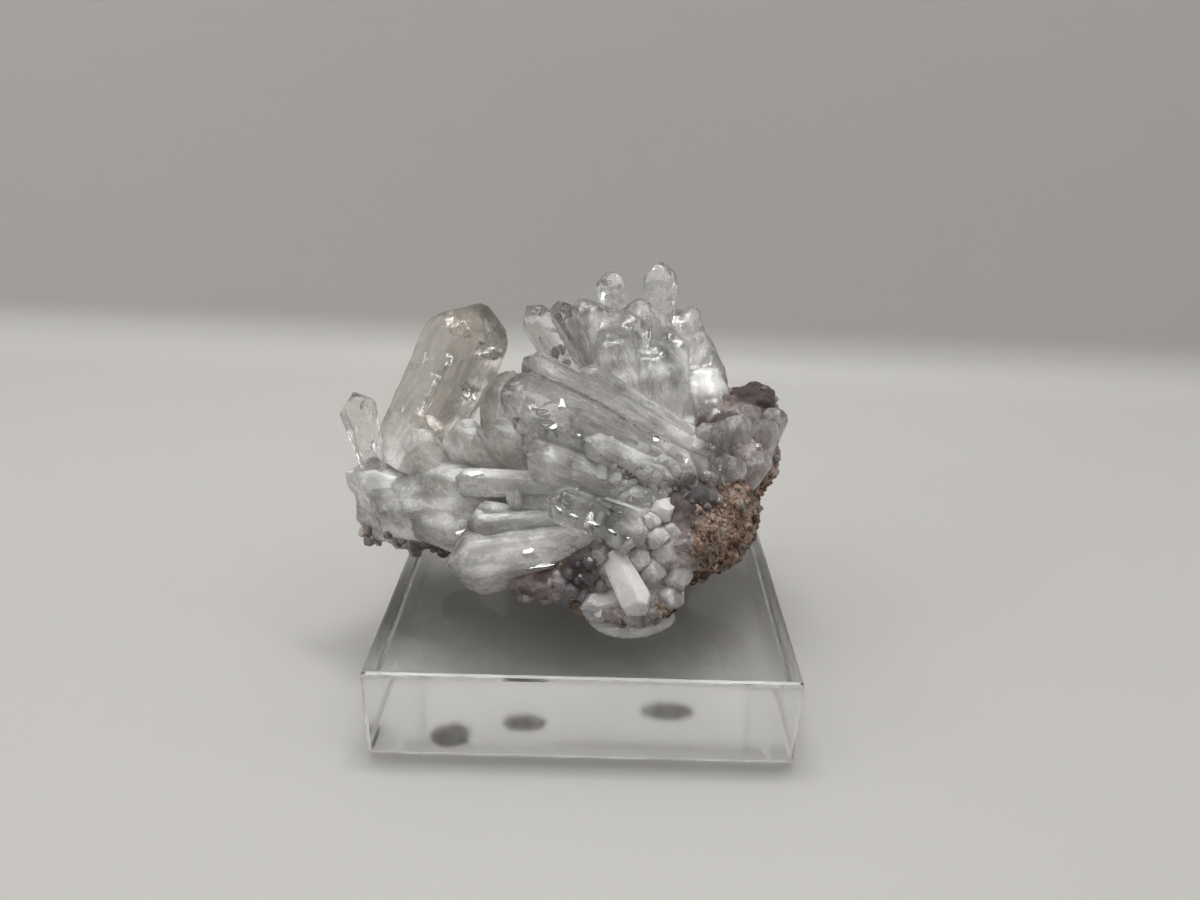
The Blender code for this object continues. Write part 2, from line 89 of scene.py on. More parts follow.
# %% The recipe class
class Recipe:
    """One output of a material's nodes, which can be used in a Python sum."""

    def __init__(self, tree, socket=None):
        self.tree = tree
        self.socket = socket

    def make(self, kind, settings=None, sockets=None, out=0):
        """Adds a node: first its settings, then a value or a link for each of its sockets."""
        node = self.tree.nodes.new(kind)
        for name, value in (settings or {}).items():
            if name == "stops":
                ramp = node.color_ramp.elements
                while len(ramp) < len(value):
                    ramp.new(1.0)
                for stop, (place, colour) in zip(ramp, value):
                    stop.position = place
                    stop.color = (*colour, 1.0)
            else:
                setattr(node, name, value)
        for name, value in (sockets or {}).items():
            if isinstance(value, Recipe):
                self.tree.links.new(value.socket, node.inputs[name])
            else:
                node.inputs[name].default_value = value
        return Recipe(self.tree, node.outputs[out])

    def other(self, out):
        """Another output of the same node."""
        return Recipe(self.tree, self.socket.node.outputs[out])

    def maths(self, operation, first, second=0.0, clamp=False):
        return self.make("ShaderNodeMath", {"operation": operation, "use_clamp": clamp}, {0: first, 1: second})

    def __add__(self, other):
        return self.maths("ADD", self, other)

    def __mul__(self, other):
        return self.maths("MULTIPLY", self, other)

    def __sub__(self, other):
        return self.maths("SUBTRACT", self, other)

    def __rsub__(self, other):
        return self.maths("SUBTRACT", other, self)

    __radd__ = __add__
    __rmul__ = __mul__

    def clamped(self):
        """The value held between 0 and 1."""
        return self.maths("ADD", self, 0.0, clamp=True)

    def between(self, low, high):
        """0 below low, 1 above high, and a smooth rise between."""
        settings = {"interpolation_type": "SMOOTHSTEP"}
        return self.make("ShaderNodeMapRange", settings, {"Value": self, "From Min": low, "From Max": high})

    def blend(self, first, second):
        """A colour that goes from the first to the second as this value goes from 0 to 1."""
        colours = [(*c, 1.0) if isinstance(c, tuple) else c for c in (first, second)]
        return self.make("ShaderNodeMix", {"data_type": "RGBA"}, {0: self, 6: colours[0], 7: colours[1]}, out=2)


def new_material(name):
    """An empty material, and a recipe that adds nodes to it."""
    material = bpy.data.materials.new(name)
    material.use_nodes = True
    material.node_tree.nodes.clear()
    return material, Recipe(material.node_tree)


def stretched(start, place, scale):
    """The place multiplied by a different number along each axis, which stretches a pattern."""
    return start.make("ShaderNodeVectorMath", {"operation": "MULTIPLY"}, {0: place, 1: scale})


def grain_noise(place, scale, detail=3.0, rough=0.55, distortion=0.0):
    """A noise pattern at a place, from 0 to 1."""
    sockets = {"Vector": place, "Scale": scale, "Detail": detail, "Roughness": rough, "Distortion": distortion}
    return place.make("ShaderNodeTexNoise", None, sockets)


def bumped(height, strength, distance):
    """A surface direction that follows a height, with the distance in metres."""
    return height.make("ShaderNodeBump", None, {"Height": height, "Strength": strength, "Distance": distance})


def finish_with(start, surface):
    """Links the finished surface to the material's output."""
    output = start.tree.nodes.new("ShaderNodeOutputMaterial")
    start.tree.links.new(surface.socket, output.inputs["Surface"])


print("recipe ready")

# %% [markdown]
# ## Floor, wall and light
# The photograph shows a pale table that meets a greyer wall a little behind the block. One sheet bends from the floor
# up into the wall, as a photographer's paper sweep does, so no hard line shows. A broad soft lamp overhead gives the
# faces that tilt up their white glints, and a pale sky fills the rest.

# %% Floor and wall
SWEEP_HALF_WIDTH = 0.9
SWEEP_FRONT = -0.7
WALL_FOOT = 0.118
WALL_TURN = math.radians(-3.0)
SWEEP_BEND = 0.012
WALL_TOP = 0.6
FLOOR_DROP = 0.00004

sweep_line = [(SWEEP_FRONT, 0.0), (WALL_FOOT - SWEEP_BEND, 0.0)]
for step in range(1, 9):
    angle = math.pi / 2 * step / 9
    sweep_line.append((WALL_FOOT - SWEEP_BEND * (1 - math.sin(angle)), SWEEP_BEND * (1 - math.cos(angle))))
sweep_line += [(WALL_FOOT, SWEEP_BEND), (WALL_FOOT, WALL_TOP)]
sweep_points = []
for y, z in sweep_line:
    for x in (-SWEEP_HALF_WIDTH, SWEEP_HALF_WIDTH):
        turn_share = (y - SWEEP_FRONT) / (WALL_FOOT - SWEEP_FRONT)
        sweep_points.append((x, y + turn_share * x * math.tan(WALL_TURN), z - FLOOR_DROP))
sweep_faces = [(2 * i, 2 * i + 1, 2 * i + 3, 2 * i + 2) for i in range(len(sweep_line) - 1)]
sweep_mesh = bpy.data.meshes.new("floor_sweep")
sweep_mesh.from_pydata(sweep_points, [], sweep_faces)
sweep_mesh.shade_smooth()
floor_sweep = bpy.data.objects.new("floor_sweep", sweep_mesh)
bpy.context.scene.collection.objects.link(floor_sweep)

FLOOR_SHADE = (0.515, 0.505, 0.485)
WALL_SHADE = (0.54, 0.53, 0.51)
material, start = new_material("pale_table")
place = start.make("ShaderNodeTexCoord", None, None, out=3)
height = start.make("ShaderNodeSeparateXYZ", None, {0: place}, out=2)
mottle = grain_noise(place, 9.0, 3.0)
shade = height.between(0.0, SWEEP_BEND).blend(FLOOR_SHADE, WALL_SHADE)
surface = start.make("ShaderNodeBsdfPrincipled", None, {"Base Color": shade, "Roughness": 0.45 + 0.15 * mottle})
finish_with(start, surface)
sweep_mesh.materials.append(material)
print("floor sweep:", len(sweep_faces), "faces")

# %% Light
SKY = (0.80, 0.785, 0.76)
SKY_STRENGTH = 0.32
SKY_BEHIND_CAMERA = 1.45
SOFT_LAMPS = {
    "overhead": ((0.0, 0.10, 0.48), (0.30, 0.17), 1.75),
    "left_panel": ((-0.50, 0.02, 0.30), (0.30, 0.30), 0.30),
    "right_panel": ((0.50, 0.0, 0.32), (0.30, 0.30), 0.30),
}
SPARK_SIZE = 0.05
SPARK_POWER = 0.14
SPARKS = {
    "spark_high": (-0.06, -0.12, 0.50),
    "spark_left": (-0.26, 0.02, 0.42),
    "spark_right": (0.24, -0.04, 0.44),
    "spark_rear": (0.06, 0.10, 0.50),
    "spark_low": (-0.38, -0.16, 0.22),
}


def add_lamp(name, lamp_place, size, power):
    """A flat lamp turned towards the specimen."""
    lamp_data = bpy.data.lights.new(name, "AREA")
    lamp_data.shape = "RECTANGLE"
    lamp_data.size, lamp_data.size_y = size
    lamp_data.energy = power
    lamp = bpy.data.objects.new(name, lamp_data)
    bpy.context.scene.collection.objects.link(lamp)
    lamp.location = lamp_place
    lamp.rotation_mode = "QUATERNION"
    lamp.rotation_quaternion = (Vector((0, 0, 0.02)) - Vector(lamp_place)).to_track_quat("-Z", "Y")


world = bpy.data.worlds.new("sky")
world.use_nodes = True
world.node_tree.nodes.clear()
start = Recipe(world.node_tree)
towards = start.make("ShaderNodeTexCoord", None, None, out=0)
frontness = start.make("ShaderNodeSeparateXYZ", None, {0: towards}, out=1).between(0.35, -0.55)
strength = SKY_STRENGTH * (1.0 - (1.0 - SKY_BEHIND_CAMERA) * frontness)
glow = start.make("ShaderNodeBackground", None, {"Color": (*SKY, 1), "Strength": strength})
sky_output = world.node_tree.nodes.new("ShaderNodeOutputWorld")
world.node_tree.links.new(glow.socket, sky_output.inputs["Surface"])
bpy.context.scene.world = world
for name, (lamp_place, size, power) in SOFT_LAMPS.items():
    add_lamp(name, lamp_place, size, power)
for name, lamp_place in SPARKS.items():
    add_lamp(name, lamp_place, (SPARK_SIZE, SPARK_SIZE), SPARK_POWER)
bpy.context.scene.view_settings.view_transform = "Standard"
bpy.context.scene.cycles.max_bounces = 16
bpy.context.scene.cycles.transmission_bounces = 14
bpy.context.scene.cycles.glossy_bounces = 8
bpy.context.scene.cycles.transparent_max_bounces = 16
print("lamps:", ", ".join([*SOFT_LAMPS, *SPARKS]))

# %% [markdown]
# ## Tools for meshes
# Several steps need the same few actions: turning arrays into an object, applying modifiers, cutting one closed shape
# by another, and naming what a piece stands for.

# %% Mesh tools
def mesh_object(name, points, faces):
    """An object made from points and faces, placed in the scene."""
    mesh = bpy.data.meshes.new(name)
    mesh.from_pydata([tuple(point) for point in points], [], [tuple(face) for face in faces])
    return link_mesh(name, mesh)


def link_mesh(name, mesh):
    """An object for a mesh, placed in the scene."""
    made = bpy.data.objects.new(name, mesh)
    bpy.context.scene.collection.objects.link(made)
    return made


def apply_modifiers(piece):
    """Turns the piece's modifiers into plain mesh."""
    bpy.context.view_layer.update()
    graph = bpy.context.evaluated_depsgraph_get()
    mesh = bpy.data.meshes.new_from_object(piece.evaluated_get(graph))
    piece.modifiers.clear()
    piece.data = mesh
    return piece


def shape_with(piece, other, operation):
    """Joins the other closed shape to the piece, or cuts it away."""
    boolean = piece.modifiers.new("shape", "BOOLEAN")
    boolean.solver = "MANIFOLD"
    boolean.operation = operation
    boolean.object = other
    return apply_modifiers(piece)


def points_of(mesh):
    """The mesh's points as an array."""
    array = np.empty(3 * len(mesh.vertices))
    mesh.vertices.foreach_get("co", array)
    return array.reshape(-1, 3)


def add_values(mesh, name, values, kind="FLOAT"):
    """Stores a number, or a vector, for each point, for the material to read."""
    layer = mesh.attributes.new(name, kind, "POINT")
    layer.data.foreach_set("value" if kind == "FLOAT" else "vector", np.asarray(values, dtype=float).ravel())


def in_millimetres(numbers):
    """A place or lengths given in millimetres, in metres."""
    return Vector(numbers) * MM


print("mesh tools ready")

# %% [markdown]
# ## What a calcite crystal is
# Each crystal is a long flattened prism: two broad faces, four side faces, and three faces that lean together at the
# tip. The faces are planes at known distances from a point inside, so the skin in any direction is where the nearest
# plane stops it. A soft minimum of those distances, instead of a hard one, rounds the edges a little, as on the real
# crystals. Rings of points up the prism and over its tip then make one closed skin. Modelling each by hand would take
# long and give faces that lean differently on each; a rule keeps them one species.

# %% One crystal
Crystal = namedtuple("Crystal", "root tip width thick taper cloud twin", defaults=(0.8, 0.15, False))

SIDE_FACE_TURN = math.radians(35)
CAP_FACE_LEAN = math.radians(48)
CAP_SHARE = 0.34
CAP_LIMIT = 0.45
CAP_POINT = 0.95
CAP_UNEVEN = 0.08
CAP_FULLNESS = 1.10
SMALL_FACES = 5
SMALL_FACE_REACH = 0.97
SHARPNESS = 44
FACING = Vector((0, -0.75, 0.66))
TURN_STEP = math.radians(137.5)
TURN_RANGE = math.radians(50)
CRYSTAL_SIDES = 48
BODY_RINGS = 22
CAP_RINGS = 12
FLUTE_DEPTH = 0.022
STEP_DEPTH = 0.012


def crystal_planes(half_width, half_thickness, cap, index, small_faces):
    """The directions of a crystal's faces, and how far each lies from the point below the tip."""
    normals = [(0, -1, 0), (0, 1, 0)]
    away = [half_thickness, half_thickness]
    for x in (-1, 1):
        for y in (-1, 1):
            normals.append((x * math.cos(SIDE_FACE_TURN), y * math.sin(SIDE_FACE_TURN), 0))
            away.append(half_width * math.cos(SIDE_FACE_TURN))
    for step in range(3):
        around = math.radians(90 + 120 * step)
        flat = math.sin(CAP_FACE_LEAN)
        normals.append((flat * math.cos(around), flat * math.sin(around), math.cos(CAP_FACE_LEAN)))
        away.append(cap * math.cos(CAP_FACE_LEAN) * (CAP_FULLNESS + CAP_UNEVEN * (step - 1)))
    for step in range(small_faces):
        around = math.radians(137.5) * (step + 3 * index)
        lean = math.radians(28 + 11 * ((step * 2.6 + 1.7 * index) % 4))
        normal = np.array([math.sin(lean) * math.cos(around), math.sin(lean) * math.sin(around), math.cos(lean)])
        normals.append(tuple(normal))
        away.append(SMALL_FACE_REACH * float(np.linalg.norm(normal * (half_width, half_thickness, cap))))
    return np.array(normals), np.array(away)


def crystal_matrix(crystal, index):
    """The matrix that stands a crystal on its root, with its broad faces turned to the front and up."""
    root, tip = in_millimetres(crystal.root), in_millimetres(crystal.tip)
    axis = (tip - root).normalized()
    across = axis.cross(FACING)
    if across.length < 0.1:
        across = axis.cross(Vector((1, 0, 0)))
    across.normalize()
    turn = (index * TURN_STEP) % TURN_RANGE - TURN_RANGE / 2
    upright = Matrix((across, axis.cross(across), axis)).transposed().to_4x4()
    return Matrix.Translation(root) @ upright @ Matrix.Rotation(turn, 4, "Z")


def flute(around, height, seed):
    """How far grooves and growth steps change a crystal's width at one point, as a share of it."""
    lengthways = noise.noise(Vector((2.1 * math.cos(around), 2.1 * math.sin(around), seed + 90 * height)))
    fine = noise.noise(Vector((5.5 * math.cos(around), 5.5 * math.sin(around), seed + 7 + 40 * height)))
    step = noise.noise(Vector((1.2 * math.cos(around), 1.2 * math.sin(around), seed + 3 + 620 * height)))
    return FLUTE_DEPTH * (lengthways + 0.6 * fine) + STEP_DEPTH * math.tanh(6 * step)


def crystal_skin(crystal, index, grow=0.0, small_faces=SMALL_FACES, sharpness=SHARPNESS, fluted=1.0):
    """The points and faces of a crystal standing on its own axis, grown outwards by a little if asked."""
    length = (in_millimetres(crystal.tip) - in_millimetres(crystal.root)).length + 2 * grow
    width, thickness = crystal.width * MM + 2 * grow, crystal.thick * MM + 2 * grow
    taper = (crystal.taper * crystal.width * MM + 2 * grow) / width
    cap = min(CAP_SHARE * (width + thickness), CAP_LIMIT * length)
    normals, away = crystal_planes(width / 2, thickness / 2, cap, index, small_faces)
    low = cap if crystal.twin else 0.0
    body = [(low + (length - cap - low) * step / BODY_RINGS, 0.0) for step in range(BODY_RINGS + 1)]
    leans = [math.pi / 2 * step / (CAP_RINGS + 1) for step in range(1, CAP_RINGS + 1)]
    rings = body + [(length - cap, lean) for lean in leans]
    if crystal.twin:
        rings = [(low, -lean) for lean in reversed(leans)] + rings
    around = 2 * math.pi * np.arange(CRYSTAL_SIDES) / CRYSTAL_SIDES
    points = []
    for height, lean in rings:
        level = math.cos(lean)
        rise = np.full(CRYSTAL_SIDES, abs(math.sin(lean)))
        directions = np.stack([np.cos(around) * level, np.sin(around) * level, rise], 1)
        nearness = np.maximum(0, directions @ normals.T / away)
        nearest = nearness.max(1)
        total = ((nearness / nearest[:, None]) ** sharpness).sum(1)
        ring = directions / (nearest * total ** (1 / sharpness))[:, None]
        ring[:, 2] *= math.copysign(1, lean)
        share = 1.0 if crystal.twin else taper + (1 - taper) * height / (length - cap)
        seed = 11.0 * index + 5
        grooves = np.array([fluted * flute(a, height, seed) * level for a in around])
        ring[:, :2] *= (share * (1 + grooves))[:, None]
        ring[:, 2] += height - grow
        points.extend(ring)
    count = len(rings)
    faces = []
    for ring in range(count - 1):
        for side in range(CRYSTAL_SIDES):
            after = (side + 1) % CRYSTAL_SIDES
            first, second = ring * CRYSTAL_SIDES, (ring + 1) * CRYSTAL_SIDES
            faces.append((first + side, first + after, second + after, second + side))
    points.append((0, 0, length - cap + CAP_POINT * cap - grow))
    points.append((0, 0, low - CAP_POINT * cap - grow if crystal.twin else -grow))
    top, bottom = len(points) - 2, len(points) - 1
    last = (count - 1) * CRYSTAL_SIDES
    for side in range(CRYSTAL_SIDES):
        after = (side + 1) % CRYSTAL_SIDES
        faces.append((last + side, last + after, top))
        faces.append((after, side, bottom))
    return points, faces


def standing_crystal(name, crystal, index, grow=0.0, **shaping):
    """One closed crystal in its place on the specimen."""
    made = mesh_object(name, *crystal_skin(crystal, index, grow, **shaping))
    made.data.transform(crystal_matrix(crystal, index))
    return made


print("a crystal has about", 2 * CRYSTAL_SIDES * (BODY_RINGS + CAP_RINGS + 1), "triangles")

# %% [markdown]
# ## The three sprays
# Each row is one crystal: where it leaves the rock, its tip, its width and thickness, its size at the root as a share,
# and how milky it is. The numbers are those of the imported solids, so each crystal fills the space that its solid holds.

# %% Front spray
FRONT_CRYSTALS = {
    "chief": Crystal((14, -2.0, 25.5), (-10.6, -5.0, 38.6), 7.0, 5.6, 0.8, 0.26),
    "chief_back": Crystal((15, 0.5, 27.5), (-8.4, -1.8, 41.0), 5.2, 4.2, 0.8, 0.3),
    "chief_upper": Crystal((15, 2.0, 28.5), (-1.5, 0.5, 39.0), 4.2, 3.4, 0.8, 0.4),
    "splinter": Crystal((5, -5.5, 29.5), (-9.2, -6.6, 35.2), 2.8, 2.2, 0.8, 0.3),
    "second": Crystal((13, -5.0, 23.0), (-7.4, -8.8, 31.2), 6.0, 5.0, 0.8, 0.6),
    "seam": Crystal((13, -5.0, 26.0), (-0.5, -7.6, 33.0), 4.0, 3.2, 0.8, 0.9),
    "canoe": Crystal((7.0, -12.6, 23.4), (-4.8, -12.0, 27.4), 4.8, 3.8, 1.0, 0.04, True),
    "canoe_seat": Crystal((9.0, -7.5, 22.5), (0.5, -11.2, 25.4), 4.4, 3.6, 0.9, 1.3),
    "log": Crystal((3, -4.5, 25.5), (-16.4, -7.8, 27.2), 4.3, 4.0, 0.8, 1.2),
    "chip_flat": Crystal((-4, -8.5, 23.0), (-13.2, -10.4, 25.2), 2.2, 1.6, 0.9, 0.9),
    "chip_up": Crystal((-7.6, -8.5, 22.5), (-9.2, -10.2, 27.4), 1.9, 1.4, 0.9, 1.0),
    "keel": Crystal((9, -9.0, 22.0), (-16.6, -13.4, 18.6), 8.2, 6.4, 0.5, 0.9),
    "keel_upper": Crystal((7, -6.5, 23.0), (-14.6, -10.8, 23.0), 5.0, 4.0, 0.8, 1.0),
    "fin": Crystal((4, -4.5, 27.5), (-8.2, -7.2, 33.2), 4.2, 3.2, 0.8, 0.35),
    "plug": Crystal((4, -7.5, 24.2), (-9.4, -8.8, 24.8), 3.2, 2.8, 0.8, 0.9),
}
print(len(FRONT_CRYSTALS), "crystals in the front spray")

# %% Left spray
LEFT_CRYSTALS = {
    "great": Crystal((-24.6, 0.4, 25.0), (-14.3, 9.7, 44.7), 13.4, 9.2, 0.85, 0.02),
    "shoulder": Crystal((-12.5, 1.0, 20.0), (-10.8, 6.0, 37.0), 6.0, 5.0, 0.8, 1.0),
    "blade": Crystal((-26.2, -4.8, 23.4), (-31.0, 3.2, 34.3), 4.9, 2.8, 0.45, 0.05),
    "wing": Crystal((-16.5, -3.5, 20.5), (-26.4, 1.6, 34.4), 5.6, 4.2, 0.8, 0.08),
    "wing_low": Crystal((-15.0, -3.0, 19.5), (-22.4, -2.8, 32.0), 5.0, 4.0, 0.8, 1.2),
    "stub": Crystal((-10.5, 3.0, 20.0), (-17.0, -3.8, 32.8), 6.0, 5.2, 0.8, 1.1),
    "stub_right": Crystal((-6.0, 4.0, 20.0), (-12.4, -1.6, 32.4), 5.4, 4.8, 0.8, 1.0),
    "prow": Crystal((-13.0, -1.0, 20.5), (-31.6, -1.6, 24.2), 9.0, 7.0, 0.8, 1.5),
    "prow_low": Crystal((-12.0, 0.0, 17.5), (-30.8, -3.2, 19.4), 8.0, 5.4, 0.8, 1.5),
    "prow_front": Crystal((-9.0, -1.5, 19.5), (-26.0, -7.4, 21.6), 6.6, 5.4, 0.8, 1.5),
    "cloud": Crystal((-9.0, -1.0, 20.0), (-20.4, -6.6, 27.0), 9.0, 8.0, 0.8, 1.5),
    "cloud_low": Crystal((-7.0, -2.5, 18.5), (-19.6, -10.0, 21.6), 6.4, 5.0, 0.8, 1.5),
    "gap": Crystal((-13.0, 5.0, 22.0), (-12.8, 8.5, 33.4), 5.0, 4.0, 0.8, 0.6),
}
print(len(LEFT_CRYSTALS), "crystals in the left spray")

# %% Back spray
BACK_CRYSTALS = {
    "first": Crystal((3.5, 7.0, 26.5), (-9.2, 14.6, 43.4), 4.8, 4.2, 0.8, 0.05),
    "second": Crystal((4.5, 8.0, 26.5), (-5.4, 17.0, 43.4), 5.6, 4.8, 0.8, 0.1),
    "third": Crystal((5.0, 9.0, 26.5), (-2.4, 19.8, 43.6), 7.6, 6.0, 0.8, 0.4),
    "inner": Crystal((6.5, 7.0, 27.0), (1.6, 14.6, 40.6), 8.8, 7.0, 0.8, 0.5),
    "inner_right": Crystal((9.0, 7.0, 27.0), (8.2, 14.2, 38.6), 8.8, 7.0, 0.8, 0.5),
    "peak": Crystal((6.0, 9.0, 27.0), (2.0, 24.6, 46.2), 4.6, 3.8, 0.8, 0.1),
    "middle": Crystal((8.0, 9.0, 27.0), (6.0, 20.6, 43.4), 8.2, 6.6, 0.8, 0.4),
    "summit": Crystal((8.6, 9.5, 27.0), (9.7, 26.2, 47.2), 5.2, 4.4, 0.8, 0.15),
    "east": Crystal((10.0, 9.0, 27.0), (13.8, 22.6, 42.0), 6.4, 5.2, 0.8, 0.4),
    "east_low": Crystal((11.0, 8.0, 27.0), (15.8, 20.0, 38.6), 6.2, 5.0, 0.8, 0.4),
    "east_end": Crystal((12.0, 6.5, 27.0), (18.0, 16.6, 35.4), 5.6, 4.8, 0.8, 0.4),
    "wedge": Crystal((14.5, 6.0, 26.5), (18.6, 13.0, 33.0), 5.0, 3.6, 0.8, 0.35),
    "rear_left": Crystal((2.5, 9.0, 25.5), (-8.6, 21.0, 34.6), 5.2, 4.4, 0.8, 0.2),
    "rear": Crystal((4.5, 10.0, 25.5), (-0.6, 26.0, 37.0), 5.6, 4.6, 0.8, 0.2),
    "rear_right": Crystal((8.0, 10.5, 25.5), (9.6, 27.4, 36.4), 5.4, 4.6, 0.8, 0.2),
    "rear_end": Crystal((11.0, 9.0, 26.5), (17.0, 23.6, 31.6), 4.8, 4.0, 0.8, 0.2),
    "rear_low": Crystal((0.5, 10.5, 24.5), (-7.6, 24.0, 26.4), 4.6, 3.8, 0.8, 0.3),
    "rear_base": Crystal((6.0, 12.0, 24.5), (4.2, 27.2, 26.6), 4.8, 4.0, 0.8, 0.3),
    "wedge_low": Crystal((16.4, 12.0, 33.5), (17.6, 3.6, 27.2), 5.4, 4.2, 0.8, 0.4),
}
print(len(BACK_CRYSTALS), "crystals in the back spray")

# %% [markdown]
# ## Crystals that meet
# Where two clear crystals meet, a film of air is often caught between them, and that film is what flashes silver
# inside the real specimen. So each free clear crystal is cut by all the shapes before it, grown by a few hundredths
# of a millimetre. The other crystals of a spray are fused: they run into each other with no film, so they are joined
# into one solid with the spray's root, and that solid is cut by the shapes before it. The left and back sprays are
# mostly of these fused milky crystals.

# %% Cut and join the sprays
SPRAYS = {
    "crystal_spray_front": (FRONT_CRYSTALS, ((5.0, -5.0, 25.0), (7.0, 4.5, 4.0))),
    "crystal_spray_left": (LEFT_CRYSTALS, ((-15.5, -0.5, 21.5), (6.0, 4.5, 3.5))),
    "crystal_spray_back": (BACK_CRYSTALS, ((5.5, 12.5, 26.5), (9.5, 7.0, 4.0))),
}
FREE_CRYSTALS = {
    "crystal_spray_front": {"canoe", "splinter", "chip_flat", "chip_up", "keel", "log"},
    "crystal_spray_left": {"great", "blade"},
    "crystal_spray_back": {"first", "second", "peak", "summit"},
}
SOFT_CRYSTALS = {
    "crystal_spray_front": set(),
    "crystal_spray_left": {"prow", "prow_low", "prow_front", "cloud", "cloud_low"},
    "crystal_spray_back": {
        "third", "inner", "inner_right", "middle", "east", "east_low", "east_end", "wedge", "wedge_low"},
}
WARMTH = {"crystal_spray_front": 0.04, "crystal_spray_left": 0.12, "crystal_spray_back": 0.1, "great": 0.95, "wing": 0.85,
          "wing_low": 0.3, "blade": 0.3, "wedge": 1.0, "wedge_low": 0.4, "third": 0.3, "east_end": 0.2}
# Spots darkened towards grey-brown: brown stain where crystals meet the rock, and painted shade round the hollow at the
# right front
STAIN_AND_SHADE_SPOTS = [((-29.0, -5, 17.0), 3.0), ((-24, -7.5, 15.4), 3.0), ((-19, -9, 15.6), 2.4), ((12.4, -6, 27.0), 3.6),
          ((13.2, -9.5, 23.5), 2.6), ((16.5, 8, 28.5), 4.5), ((-0.5, -13, 20.0), 3.0), ((22.5, 6, 30), 4.0),
          ((17.0, -3.0, 30.5), 3.4), ((21.0, 2.0, 27.0), 3.6), ((15.5, -6.5, 26.0), 3.0)]
MELT_SWELL = {"crystal_spray_left": 3.4 * MM, "crystal_spray_back": 1.7 * MM}
MELT_LOSS = 0.3 * MM
MELT_GRAIN = 0.42 * MM
MELT_SOFTEN = 45
MELT_SETTLE = 20
MELT_RIDGE = 0.35 * MM
AIR_FILM = 0.04 * MM
ROOT_LUMP = 0.35 * MM
ROOT_CLOUD = 0.85
CLOUD_SPAN = 3.2
CLOUD_PATCHY = 0.7
SHARP_EDGE = math.radians(26)


def root_body(name, base, grow=0.0):
    """The lumpy milky calcite that a spray grows from."""
    centre, half_lengths = base
    bm = bmesh.new()
    bmesh.ops.create_icosphere(bm, subdivisions=4, radius=1)
    bmesh.ops.scale(bm, vec=in_millimetres(half_lengths), verts=bm.verts)
    bmesh.ops.translate(bm, vec=in_millimetres(centre), verts=bm.verts)
    for vert in bm.verts:
        vert.co += vert.normal * (ROOT_LUMP * (noise.noise(vert.co / (1.4 * MM)) - 0.6) + grow)
    mesh = bpy.data.meshes.new(name)
    bm.to_mesh(mesh)
    bm.free()
    return link_mesh(name, mesh)


def keep_main_body(mesh):
    """Removes the crumbs that a cut leaves beside the main body."""
    bm = bmesh.new()
    bm.from_mesh(mesh)
    waiting = set(bm.verts)
    bodies = []
    while waiting:
        body, edge = set(), {waiting.pop()}
        while edge:
            body |= edge
            edge = {link.other_vert(vert) for vert in edge for link in vert.link_edges} - body
        waiting -= body
        bodies.append(body)
    bodies.sort(key=len)
    bmesh.ops.delete(bm, geom=[vert for body in bodies[:-1] for vert in body], context="VERTS")
    bm.to_mesh(mesh)
    bm.free()


def boxes_meet(first, second):
    """Whether the boxes round two meshes overlap."""
    a, b = points_of(first), points_of(second)
    return bool((a.min(0) < b.max(0)).all() and (b.min(0) < a.max(0)).all())


def mark_crystals(mesh, crystals):
    """Stores, for each point, its place along its crystal, how milky and how warm it is there, and how much it is
    darkened by brown stain and, in the hollow at the right front, by painted shade.
    """
    places = points_of(mesh)
    nearest = np.full(len(places), 1e9)
    grain = places / MM
    milk = np.full(len(places), 1.0)
    warmth = np.zeros(len(places))
    patches = np.array([noise.noise(Vector(p) / (CLOUD_SPAN * MM)) for p in places])
    for index, crystal, warm in crystals:
        inverse = np.array(crystal_matrix(crystal, index).inverted())
        local = places @ inverse[:3, :3].T + inverse[:3, 3]
        length = (Vector(crystal.tip) - Vector(crystal.root)).length * MM
        along = np.clip(local[:, 2] / length, 0, 1)
        beyond = np.abs(local[:, 2] - along * length)
        off = np.hypot(np.hypot(local[:, 0] / crystal.width, local[:, 1] / crystal.thick), beyond / crystal.thick)
        closer = off < nearest
        nearest = np.where(closer, off, nearest)
        here = crystal.cloud * (1.45 - 1.1 * along) + ROOT_CLOUD * np.clip(1 - 3.2 * along, 0, 1)
        here += 0.5 * patches * (0.15 + min(crystal.cloud, CLOUD_PATCHY))
        milk = np.where(closer, here, milk)
        warmth = np.where(closer, warm, warmth)
        grain = np.where(closer[:, None], local / MM + np.array([0, 0, 37.0 * index]), grain)
    add_values(mesh, "grain", grain, "FLOAT_VECTOR")
    add_values(mesh, "cloud", np.clip(milk, 0, 1))
    add_values(mesh, "warm", warmth)
    stain = np.zeros(len(places))
    for centre, reach in STAIN_AND_SHADE_SPOTS:
        stain = np.maximum(stain, 1.3 - np.linalg.norm(places / MM - np.array(centre), axis=1) / reach + 0.3 * patches)
    add_values(mesh, "stain", np.clip(stain, 0, 1))


